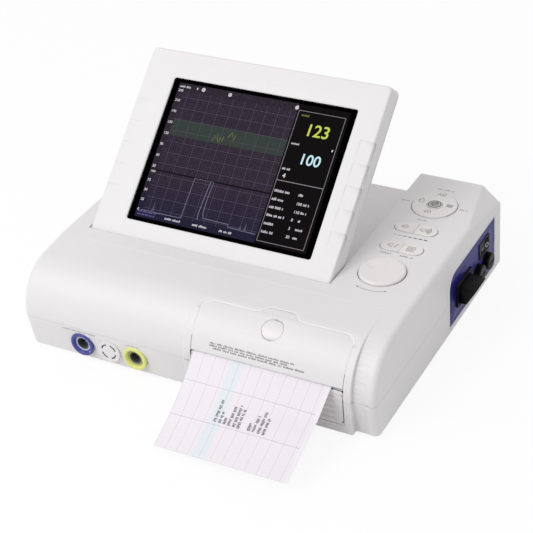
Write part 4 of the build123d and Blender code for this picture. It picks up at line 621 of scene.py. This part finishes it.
def displayMarks():
    c = column
    box = [(c["left"], c["foot"]), (c["right"], c["foot"]), (c["right"], c["top"]), (c["left"], c["top"])]
    drawStrokes("columnFrame", [box], screen["line"], onPicture, "frame", closed=True)
    drawStrokes("columnRule", [[(c["left"], c["split"]), (c["right"], c["split"])]], screen["line"], onPicture, "frame")
    drawStrokes("chartGap", [chartGap], screen["gap"], onPicture, "unlit")
    drawStrokes("pressureTraces", [pressureTrace, secondTrace], screen["line"], onPicture, "trace")
    drawStrokes("heartTraces", heartTraces, screen["thin"], onPicture, "olive")
    for name, (word, finish, bold) in rates.items():
        writeFigures(name, [word], onPicture, finish, rateLean, bold)
    words = [(text, axis["left"], y, axis["tall"]) for text, y in axisNumbers.items()]
    words += [(text, c["figures"], y - c["figureDrop"], c["figureTall"]) for y, text, _, _ in rows if text]
    writeFigures("axisFigures", words, onPicture, "pale", 0.0, axis["bold"])
    lines = []
    for i, (y, _, nameLong, unitLong) in enumerate(rows):
        lines += [(20 + i, c["names"], c["names"] + nameLong, y, c["nameTall"]),
                  (30 + i, c["units"], c["units"] + unitLong, y, c["unitTall"])]
    drawStrokes("smallLabels", dashedLines(lines + smallLabels), screen["dash"], onPicture, "pale")
    drawStrokes("rateLabel", dashedWords(*rateLabel), screen["labelDash"], onPicture, "olive")
    drawStrokes("curveNotes", dashedLines(curveNotes), screen["dash"], onPicture, "violet")
    drawStrokes("topIcons", topIcons, screen["icon"], onPicture, "pale")


displayPicture()
displayMarks()
print("display picture laid")


# Paper strip: leaves the slot, sags forward and hangs to the table with a slight twist; routes are (y, z)
strip = {"left": 4.8, "width": 112.0, "across": 28, "along": 60, "sheet": 0.12, "crown": 0.5, "liftForward": 0.4,
         "smoothUnder": 40,
         "leftRoute": [(-112.0, 43.6), (-121.8, 41.4), (-128.4, 36.6), (-136.5, 29.2), (-150.5, 19.4), (-169.0, 9.6),
                       (-186.3, 2.7)],
         "rightRoute": [(-112.0, 43.6), (-121.8, 41.4), (-129.6, 37.6), (-145.2, 29.0), (-160.5, 23.4), (-176.0, 17.4),
                        (-193.2, 11.8)]}


def alongRoute(route, share):
    # A smooth curve through the points, by the length of the straight pieces
    lengths = [0.0]
    for a, b in zip(route, route[1:]):
        lengths.append(lengths[-1] + sqrt((b[0] - a[0]) ** 2 + (b[1] - a[1]) ** 2))
    want = share * lengths[-1]
    i = max(k for k in range(len(route) - 1) if lengths[k] <= want + 1e-9)
    t = (want - lengths[i]) / (lengths[i + 1] - lengths[i])
    before, here, after, beyond = (route[min(max(k, 0), len(route) - 1)] for k in range(i - 1, i + 3))
    return [0.5 * (2 * here[k] + (after[k] - before[k]) * t
                   + (2 * before[k] - 5 * here[k] + 4 * after[k] - beyond[k]) * t * t
                   + (3 * here[k] - 3 * after[k] + beyond[k] - before[k]) * t ** 3) for k in (0, 1)]


def onPaper(across, share, lift=0.0):
    (leftY, leftZ), (rightY, rightZ) = alongRoute(strip["leftRoute"], share), alongRoute(strip["rightRoute"], share)
    z = leftZ + (rightZ - leftZ) * across + strip["crown"] * sin(across * pi) * sin(share * pi)
    y = leftY + (rightY - leftY) * across - lift * strip["liftForward"]
    return (strip["left"] + strip["width"] * across, y, z + lift)


def paperStrip():
    bpy.ops.object.select_all(action="DESELECT")
    bpy.ops.mesh.primitive_grid_add(x_subdivisions=strip["across"], y_subdivisions=strip["along"], size=1,
                                    calc_uvs=True)
    paper = bpy.context.active_object
    paper.name = "printedPaperStrip"
    for vertex in paper.data.vertices:
        vertex.co = Vector(onPaper(vertex.co.x + 0.5, 0.5 - vertex.co.y)) * mm
    # The first row of the grid lies in the slot, so the map's far end is there
    for loop in paper.data.uv_layers.active.data:
        loop.uv.y = 1 - loop.uv.y
    selectOnly(paper)
    bpy.ops.object.modifier_add(type="SOLIDIFY")
    paper.modifiers[-1].thickness = strip["sheet"] * mm
    bpy.ops.object.modifier_apply(modifier=paper.modifiers[-1].name)
    bpy.ops.object.shade_smooth_by_angle(angle=radians(strip["smoothUnder"]))
    handOver(paper, "chart", "drawer")
    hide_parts("paper_strip")


# Recorder print: greeked lines that run along the strip, drawn as ticks across it
# Each column is (across, first tick, last tick), as shares of the strip, with 0 at the slot's lip
printout = {"slotShare": 0.13, "tall": 0.0215, "pitch": 0.0135, "word": (3, 7), "low": 0.6, "seed": 3, "radius": 0.32,
            "lift": 0.12,
            "columns": [(0.325, 0.615, 0.395), (0.362, 0.615, 0.49), (0.396, 0.615, 0.535), (0.431, 0.618, 0.42),
                        (0.467, 0.619, 0.40), (0.5, 0.621, 0.42), (0.576, 0.615, 0.526), (0.613, 0.615, 0.45),
                        (0.65, 0.616, 0.382), (0.686, 0.617, 0.435)]}


def paperPrint():
    p = printout
    rng = random.Random(p["seed"])
    ticks = []
    for x, share, end in p["columns"]:
        left = rng.randint(*p["word"])
        while share > end:
            left -= 1
            share -= p["pitch"]
            if left == 0:
                left = rng.randint(*p["word"])
                continue
            tall = p["tall"] * rng.uniform(p["low"], 1.0)
            onStrip = p["slotShare"] + share * (1 - p["slotShare"])
            ticks.append([onPaper(x, onStrip, p["lift"]), onPaper(x + tall, onStrip, p["lift"])])
    handOver(strokeMesh("thermalPrintout", ticks, p["radius"], capped=False), "thermal", "drawer")


paperStrip()
paperPrint()
print("paper strip laid")


# Key strip legends
deckTop = 72.8
legendSet = {"stroke": 0.55, "icon": 0.6, "gap": 0.5, "gapSunk": 0.02, "lift": 0.04}
pad = {"x": 111.2, "y": 79.1, "top": 73.8, "okTop": 74.4}
pillTop = 73.5
knob = {"x": 111.1, "y": -20.0, "markRadius": 24.55, "mark": (-116, -58.5), "markWidth": 0.36, "tipWidth": 0.6,
        "tipLength": 1.9, "tipHalf": 0.3, "tips": ((-116.4, 90), (-58.3, -90))}
stripLabels = [(1, 104.0, 117.4, 103.2, 1.5), (2, 83.6, 89.8, 78.3, 1.4), (3, 131.8, 138.8, 80.4, 1.4),
               (4, 106.4, 115.2, 55.6, 1.5), (5, 98.6, 107.4, 4.2, 1.5), (6, 114.4, 124.8, 4.4, 1.6)]
volume = {"steps": 7, "x": 97.2, "y": 30.5, "pitch": 4.2, "rise": 0.1, "long": 2.9, "thin": 0.35, "thicker": 0.16}
# Painted shade in the gaps round the pad, the knob and the two pairs of keys: x, y, radius, from, to
gapArcs = [(111.2, 79.1, 18.25, 148, 222), (111.2, 79.1, 18.25, -38, 30), (111.1, -20.0, 18.1, 150, 218),
           (111.1, -20.0, 18.1, -40, 18), (100.3, 42.8, 6.65, 125, 222), (122.1, 42.8, 6.65, -60, 48),
           (100.3, 15.2, 6.65, 125, 222), (122.1, 15.2, 6.65, -60, 48)]


def bars(x, y, w, h, count):
    gap = h / (count - 1)
    return [[(x - w / 2, y - h / 2 + i * gap), (x + w / 2, y - h / 2 + i * gap)] for i in range(count)]


cone = {"low": 0.35, "high": 0.85, "neck": 0.5, "wave": 0.38, "half": 48}   # shares of the size, and an angle


def speakerIcon(x, y, size, waves):
    # A cone with up to four waves
    low, high, neck = size * cone["low"], size * cone["high"], x - size * cone["neck"]
    body = [[(x - size, y - low), (neck, y - low), (x, y - high), (x, y + high), (neck, y + low), (x - size, y + low),
             (x - size, y - low)]]
    return body + [arc(x, y, size * (cone["neck"] + cone["wave"] * i), -cone["half"], cone["half"], 8)
                   for i in range(waves)]


padIcons = bars(122.8, 81.4, 5.2, 3.2, 4) + [
    [(96.6, 82.0), (99.2, 84.9), (101.8, 82.0), (100.8, 82.0), (100.8, 79.4), (97.6, 79.4), (97.6, 82.0), (96.6, 82.0)],
    [(107.2, 66.7), (108.3, 70.2), (111.5, 70.2), (112.6, 66.7), (107.2, 66.7)], [(108.8, 68.2), (111.0, 68.2)],
    [(107.4, 92.9), (109.2, 97.1), (110.7, 92.9)], [(108.0, 94.4), (110.2, 94.4)],
    [(111.6, 92.9), (111.6, 97.1), (114.0, 97.1), (114.0, 95.0), (111.6, 95.0), (114.4, 92.9)]]
page = [(116.0, 12.3), (116.0, 18.1), (121.6, 18.1), (121.6, 12.3), (116.0, 12.3)]
keyIcons = {"quietIcon": ("volume_left", speakerIcon(102.9, 42.8, 3.1, 1)),
            "loudIcon": ("volume_right", speakerIcon(118.2, 42.8, 3.2, 4)),
            "muteIcon": ("event_left", speakerIcon(103.6, 15.2, 3.1, 0) + [[(105.6, 12.6), (107.6, 18.0)]]),
            "printIcon": ("event_right", [page] + bars(118.8, 15.2, 3.8, 3.0, 3))}
centreKey = {"discs": (3.3, 2.4, 1.5, 0.6), "discWidth": 1.1, "ring": 4.9, "ringWidth": 0.95, "tickWidth": 0.7,
             "tick": [[(109.0, 79.2), (110.7, 77.2), (113.6, 81.2)], arc(111.2, 79.5, 2.7, 20, 200, 10)]}


def knobTips():
    # Small arrow heads at the ends of the mark round the knob
    tips = []
    for angle, turn in knob["tips"]:
        end = arc(knob["x"], knob["y"], knob["markRadius"], angle, angle)[0]
        tail, side = radians(angle + turn), radians(angle)
        back = (end[0] + knob["tipLength"] * cos(tail), end[1] + knob["tipLength"] * sin(tail))
        half = (knob["tipHalf"] * cos(side), knob["tipHalf"] * sin(side))
        tips.append([(back[0] + half[0], back[1] + half[1]), end, (back[0] - half[0], back[1] - half[1])])
    return tips


def keyStripLegends():
    lift = legendSet["lift"]
    deck = (flatOn(deckTop + lift), "base", "case")
    drawStrokes("stripLabels", dashedLines(stripLabels), legendSet["stroke"], deck, "legend")
    for i in range(volume["steps"]):
        x, y = volume["x"] + i * volume["pitch"], volume["y"] + i * volume["rise"]
        drawStrokes(f"volumeStep{i + 1}", [[(x, y), (x + volume["long"], y)]],
                    volume["thin"] + volume["thicker"] * i, deck, "legendDark")
    mark = arc(knob["x"], knob["y"], knob["markRadius"], *knob["mark"], 24)
    drawStrokes("knobMark", [mark], knob["markWidth"], deck, "legendDark")
    drawStrokes("knobMarkTips", knobTips(), knob["tipWidth"], deck, "legendDark")
    drawStrokes("padIcons", padIcons, legendSet["icon"], (flatOn(pad["top"] + lift), "nav", "keys"), "legend")
    drawStrokes("gapShades", [arc(*gap) for gap in gapArcs], legendSet["gap"],
                (flatOn(deckTop - legendSet["gapSunk"]), "base", "case"), "slots")
    ok = (flatOn(pad["okTop"] + lift), "centre_key", "keys")
    discs = [arc(pad["x"], pad["y"], r, 0, 360, 24) for r in centreKey["discs"]]
    drawStrokes("centreKeyDisc", discs, centreKey["discWidth"], ok, "okDisc")
    ring = arc(pad["x"], pad["y"], centreKey["ring"], 0, 360, 28)
    drawStrokes("centreKeyRing", [ring], centreKey["ringWidth"], ok, "legendDark")
    drawStrokes("centreKeyIcon", centreKey["tick"], centreKey["tickWidth"],
                (flatOn(pad["okTop"] + 2 * lift), "centre_key", "keys"), "legendDark")
    for name, (body, icon) in keyIcons.items():
        drawStrokes(name, icon, legendSet["icon"], (flatOn(pillTop + lift), body, "keys"), "legend")


keyStripLegends()
print("key strip printed")


# Front of the block: a round nose above a face that leans a little
nose = {"y": -85.1, "z": 33.1, "radius": 37.5, "toe": -122.2, "toeHeight": 2.0, "lean": 0.0129}


def onNose(angle, lift):
    out = Vector((0, cos(radians(angle)), sin(radians(angle))))
    across = Vector((1, 0, 0))
    centre = Vector((0, nose["y"], nose["z"])) + out * (nose["radius"] + lift)
    return moved(*centre) @ facing(across, out.cross(across), out)


def onCoverTop(x, y, sunk):
    return (x, y, nose["z"] + sqrt((nose["radius"] - sunk) ** 2 - (y - nose["y"]) ** 2))


def onBlockFront(x, z, sunk):
    if z > nose["z"]:
        return (x, nose["y"] - sqrt(nose["radius"] ** 2 - (z - nose["z"]) ** 2) + sunk, z)
    return (x, nose["toe"] - (z - nose["toeHeight"]) * nose["lean"] + sunk, z)


# Three small lines of dashes on the drawer cover: seed, from, to, angle on the nose
cover = {"tall": 1.5, "pitch": 1.05, "stroke": 0.5, "lift": 0.03,
         "notes": [(60, 18, 88, 153.2), (61, 18, 82, 156.0), (62, 21, 96, 158.8)]}


def coverNotes():
    for i, (seed, start, end, angle) in enumerate(cover["notes"]):
        strokes = dashedWords(seed, start, end, 0, cover["tall"], cover["pitch"])
        drawStrokes(f"coverNote{i + 1}", strokes, cover["stroke"], (onNose(angle, cover["lift"]), "drawer", "case"),
                    "legendDark")


# A band in the case's own plastic closes the joint line of the two shells, almost flush
seam = {"height": 31.8, "proud": 0.01, "width": 0.8, "deep": 1.8, "front": -120.95, "side": 150.0, "corner": 4.8,
        "back": 123.0, "backCorner": 2.5, "leftFrom": -5.6, "leftTo": 110.5, "rightFrom": 142.5, "rightTo": 11.0,
        "rim": (126.6, 131.2, -122.58), "groove": (133.1, 141.4, -119.66)}


def seamFiller():
    s = seam
    inset = s["width"] / 2 - s["proud"]
    side, front, back = s["side"] - inset, s["front"] + inset, s["back"] - inset
    r, small = s["corner"], s["backCorner"]
    left = [(s["leftFrom"], front)] + arc(r - side, front + r, r, 270, 180, 8)
    left += arc(small - side, back - small, small, 180, 90, 6) + arc(side - small, back - small, small, 90, 0, 6)
    left.append((side, s["leftTo"]))
    right = [(s["rightFrom"], front)] + arc(side - r, front + r, r, 270, 360, 8) + [(side, s["rightTo"])]
    short = [[(start, y + inset), (end, y + inset)] for start, end, y in (s["rim"], s["groove"])]
    drawStrokes("seamFiller", [left, right] + short, s["width"], (flatOn(s["height"]), "base", "case"), "case",
                height=s["deep"])


# A pale bead round the top of the cover: it closes the gap and catches light as a raised lip does, and its near-white
# colour is a painted highlight
bead = {"left": 2.3, "right": 125.7, "top": -93.8, "low": -117.0, "corner": 9.2, "middle": 63.2, "step": 1.5,
        "bump": ((-18.8, 0), (-16.4, 0.6), (-11.1, 6.2), (-8.6, 7.0)), "thin": 0.19, "proud": 0.01, "thick": 0.5,
        "sunk": 0.28, "away": 0.5}


def finely(route, step):
    spots = []
    for here, there in zip(route, route[1:]):
        steps = max(1, int(sqrt((there[0] - here[0]) ** 2 + (there[1] - here[1]) ** 2) / step))
        spots += [(here[0] + (there[0] - here[0]) * i / steps, here[1] + (there[1] - here[1]) * i / steps)
                  for i in range(steps)]
    return spots + [route[-1]]


def coverFiller():
    b = bead
    r, top, middle = b["corner"], b["top"], b["middle"]
    route = [(b["left"], b["low"])] + arc(b["left"] + r, top - r, r, 180, 90, 8)
    route += [(middle + x, top + y) for x, y in b["bump"]] + [(middle - x, top + y) for x, y in reversed(b["bump"])]
    route += arc(b["right"] - r, top - r, r, 90, 0, 8) + [(b["right"], b["low"])]
    spots = finely(route, b["step"])
    gap = [onCoverTop(x, y, b["proud"]) for x, y in spots]
    rim = [onCoverTop(x, y + b["away"], b["sunk"]) for x, y in spots if y > top - r]
    drawRods("coverFiller", [(b["thin"], gap), (b["thick"], rim)], "edge", "base")


# A faint bright line across the deck, in front of the screen: a rod sunk nearly whole, whose pale colour is a painted
# highlight
deckRod = {"radius": 0.5, "sunk": 0.45, "y": -61.6, "ends": (-124.0, 131.0)}


def deckLine():
    spots = [(x, deckRod["y"], deckTop - deckRod["sunk"]) for x in deckRod["ends"]]
    drawRods("deckLine", [(deckRod["radius"], spots)], "filler", "base")


# Painted shade at the ends of the paper slot and in the gap beside the lower plate: radius, then (x, z) on the block's
# front
slot = {"sunk": 0.1,
        "rods": [(0.24, [(117.4, 41.0), (125.7, 40.8)]), (0.16, [(125.7, 41 - i) for i in range(8)]),
                 (0.36, [(125.7, 34 - i) for i in range(20)] + [(125.2, 13.6), (124.1, 12.8)]),
                 (0.62, [(117.2, 41.1), (118.2, 41.0)]), (0.6, [(125.7, 41.3), (125.7, 40.2)]),
                 (0.55, [(2.4, 41.6), (2.4, 38.4)])]}


def slotEnds():
    rods = [(radius, [onBlockFront(x, z, slot["sunk"]) for x, z in spots]) for radius, spots in slot["rods"]]
    drawRods("slotEnds", rods, "slots", "base")


# Raised floors that keep the grooves of the lower plate shallow
ribs = {"count": 5, "first": 15.9, "pitch": 5.0, "left": 7.0, "right": 121.0, "sunk": 0.64, "tall": 4.8, "deep": 1.2}


def ribBeds():
    for i in range(ribs["count"]):
        bed = moved(*onBlockFront(0, ribs["first"] + i * ribs["pitch"], ribs["sunk"])) @ turnedBy(90, "X")
        drawStrokes(f"ribBed{i + 1}", [[(ribs["left"], 0), (ribs["right"], 0)]], ribs["tall"], (bed, "drawer", "case"),
                    "case", height=ribs["deep"])


# A line of dashes over each socket, on the lower front, which reaches forward as it rises: seed, from, to, foot
front = {"turn": 97.5, "y": -116.78, "foot": 2, "slope": 0.1533, "tall": 1.15, "pitch": 0.95, "stroke": 0.42,
         "labels": {"longSocketLabel": ((84, -114.3, -84.2, 28.6), "legend"),
                    "shortSocketLabel": ((85, -56.2, -45.6, 28.2), "legendViolet")}}
blueRing = {"middle": (-98.5, -121.62, 17.0), "radius": 8.3, "marks": (60, 22, 38, -38), "long": 13, "width": 0.9}


def socketLegends():
    for name, ((seed, start, end, z), finish) in front["labels"].items():
        strokes = dashedWords(seed, 0, end - start, 0, front["tall"], front["pitch"])
        plane = moved(start, front["y"] - (z - front["foot"]) * front["slope"], z) @ turnedBy(front["turn"], "X")
        drawStrokes(name, strokes, front["stroke"], (plane, "base", "case"), finish)
    marks = [arc(0, 0, blueRing["radius"], a, a + blueRing["long"], 3) for a in blueRing["marks"]]
    face = moved(*blueRing["middle"]) @ turnedBy(90, "X")
    drawStrokes("blueRingMarks", marks, blueRing["width"], (face, "base", "blue"), "lightBlue")


coverNotes()
seamFiller()
coverFiller()
deckLine()
slotEnds()
ribBeds()
socketLegends()


# Mains side: pale lip round the violet plate, a raised bead whose near-white colour is also a painted highlight; marks
# on the rocker; grey arcs round the rims of the fuse caps
mains = {"front": 14.5, "rear": 107.6, "low": 9.4, "high": 54.2, "corner": 12.0, "lip": 2.2, "lipAway": 1.15,
         "lipHigh": 0.9, "plane": 150.0, "capAxis": 24.5, "capFace": 153.72, "capRadius": 5.3, "capWidth": 0.9,
         "capArcs": ((8, 172), (188, 352)), "caps": {"rear_cap": 89.5, "front_cap": 71.0}}
rocker = {"width": 0.7, "bar": ((150.36, 81.2, 40.2), 0.8, 1.9), "ring": ((151.27, 88.4, 40.2), -14.8, 1.75)}


def onSide(x):
    # Drawing plane with +X to the back and +Y up, facing right
    return moved(x, 0, 0) @ Matrix(((0, 0, 1, 0), (1, 0, 0, 0), (0, 1, 0, 0), (0, 0, 0, 1)))


def mainsMarks():
    m = mains
    away = m["lipAway"]
    r = m["corner"] + away
    low, high, near, rear = m["low"] - away, m["high"] + away, m["front"] - away, m["rear"] + away
    lip = [(near, low), (rear, low), (rear, high)] + arc(near + r, high - r, r, 90, 180, 12)
    drawStrokes("plateLip", [lip], m["lip"], (onSide(m["plane"]), "base", "case"), "lip", closed=True,
                height=m["lipHigh"])
    for name in ("bar", "ring"):
        place, turn, size = rocker[name]
        stroke = [(-size, 0), (size, 0)] if name == "bar" else arc(0, 0, size, 0, 360, 20)
        plane = moved(*place) @ turnedBy(turn, "Z") @ onSide(0)
        drawStrokes("rocker" + name.capitalize(), [stroke], rocker["width"], (plane, "rocker", "black"), "white")
    for body, y in m["caps"].items():
        rim = [arc(y, m["capAxis"], m["capRadius"], *ends) for ends in m["capArcs"]]
        drawStrokes(body + "Rim", rim, m["capWidth"], (onSide(m["capFace"]), body, "black"), "capGrey")


mainsMarks()
print("front and side printed")


# Stage: pale paper, white to the eye and to reflections, that sends a little less light back at the object
floorSet = {"size": 6.0, "seen": "#FDFDFD", "bounced": "#EFEFEE", "glow": 0.9}


def seenDirectly(add):
    # The eye, and what metal and glass show of the background
    path = add("LightPath")
    either = add("Math", {"operation": "MAXIMUM"}, {0: path.outputs["Is Camera Ray"], 1: path.outputs["Is Glossy Ray"]})
    return add("Math", {"operation": "MAXIMUM"}, {0: either, 1: path.outputs["Is Transmission Ray"]})


def studioFloor():
    bpy.ops.object.select_all(action="DESELECT")
    bpy.ops.mesh.primitive_plane_add(size=floorSet["size"])
    floor = bpy.context.active_object
    floor.name = "studioFloor"
    material, add, _ = startMaterial("paleStudioPaper")
    seen = seenDirectly(add)
    matte = add("BsdfDiffuse", {}, {"Color": layer(add, floorSet["bounced"], floorSet["seen"], seen)})
    glow = add("Emission", {"Color": (1, 1, 1, 1), "Strength": 1.0})
    share = add("Math", {"operation": "MULTIPLY", 1: floorSet["glow"]}, {0: seen})
    finishes["floor"] = endMaterial(material, add("MixShader", {}, {0: share, 1: matte, 2: glow}))
    giveFinish(floor, "floor")


sky = {"colour": "#FEFDFE", "strength": 0.675}


def studioLight():
    world = bpy.data.worlds.new("softStudio")
    bpy.context.scene.world = world
    world.use_nodes = True
    world.node_tree.nodes.clear()
    add = partial(addNode, world.node_tree)
    dome = add("Background", {"Color": toLinear(sky["colour"]), "Strength": sky["strength"]})
    white = add("Background", {"Color": (1, 1, 1, 1), "Strength": 1.0})
    both = add("MixShader", {}, {0: seenDirectly(add), 1: dome, 2: white})
    add("OutputWorld", {}, {"Surface": both})


# A large lamp to the left of the front, in metres and watts
keyLamp = {"place": (-0.7, -1.1, 1.4), "aim": (0, 0, 0.06), "size": 1.2, "power": 15.0}


def hangLamp():
    bpy.ops.object.light_add(type="AREA")
    light = bpy.context.active_object
    light.name = "keyLamp"
    light.data.shape = "SQUARE"
    light.data.size = keyLamp["size"]
    light.data.energy = keyLamp["power"]
    light.location = keyLamp["place"]
    light.rotation_mode = "QUATERNION"
    light.rotation_quaternion = (Vector(keyLamp["aim"]) - Vector(keyLamp["place"])).to_track_quat("-Z", "Y")


studioFloor()
studioLight()
hangLamp()
bpy.context.scene.view_settings.view_transform = "Standard"
print("stage lit")
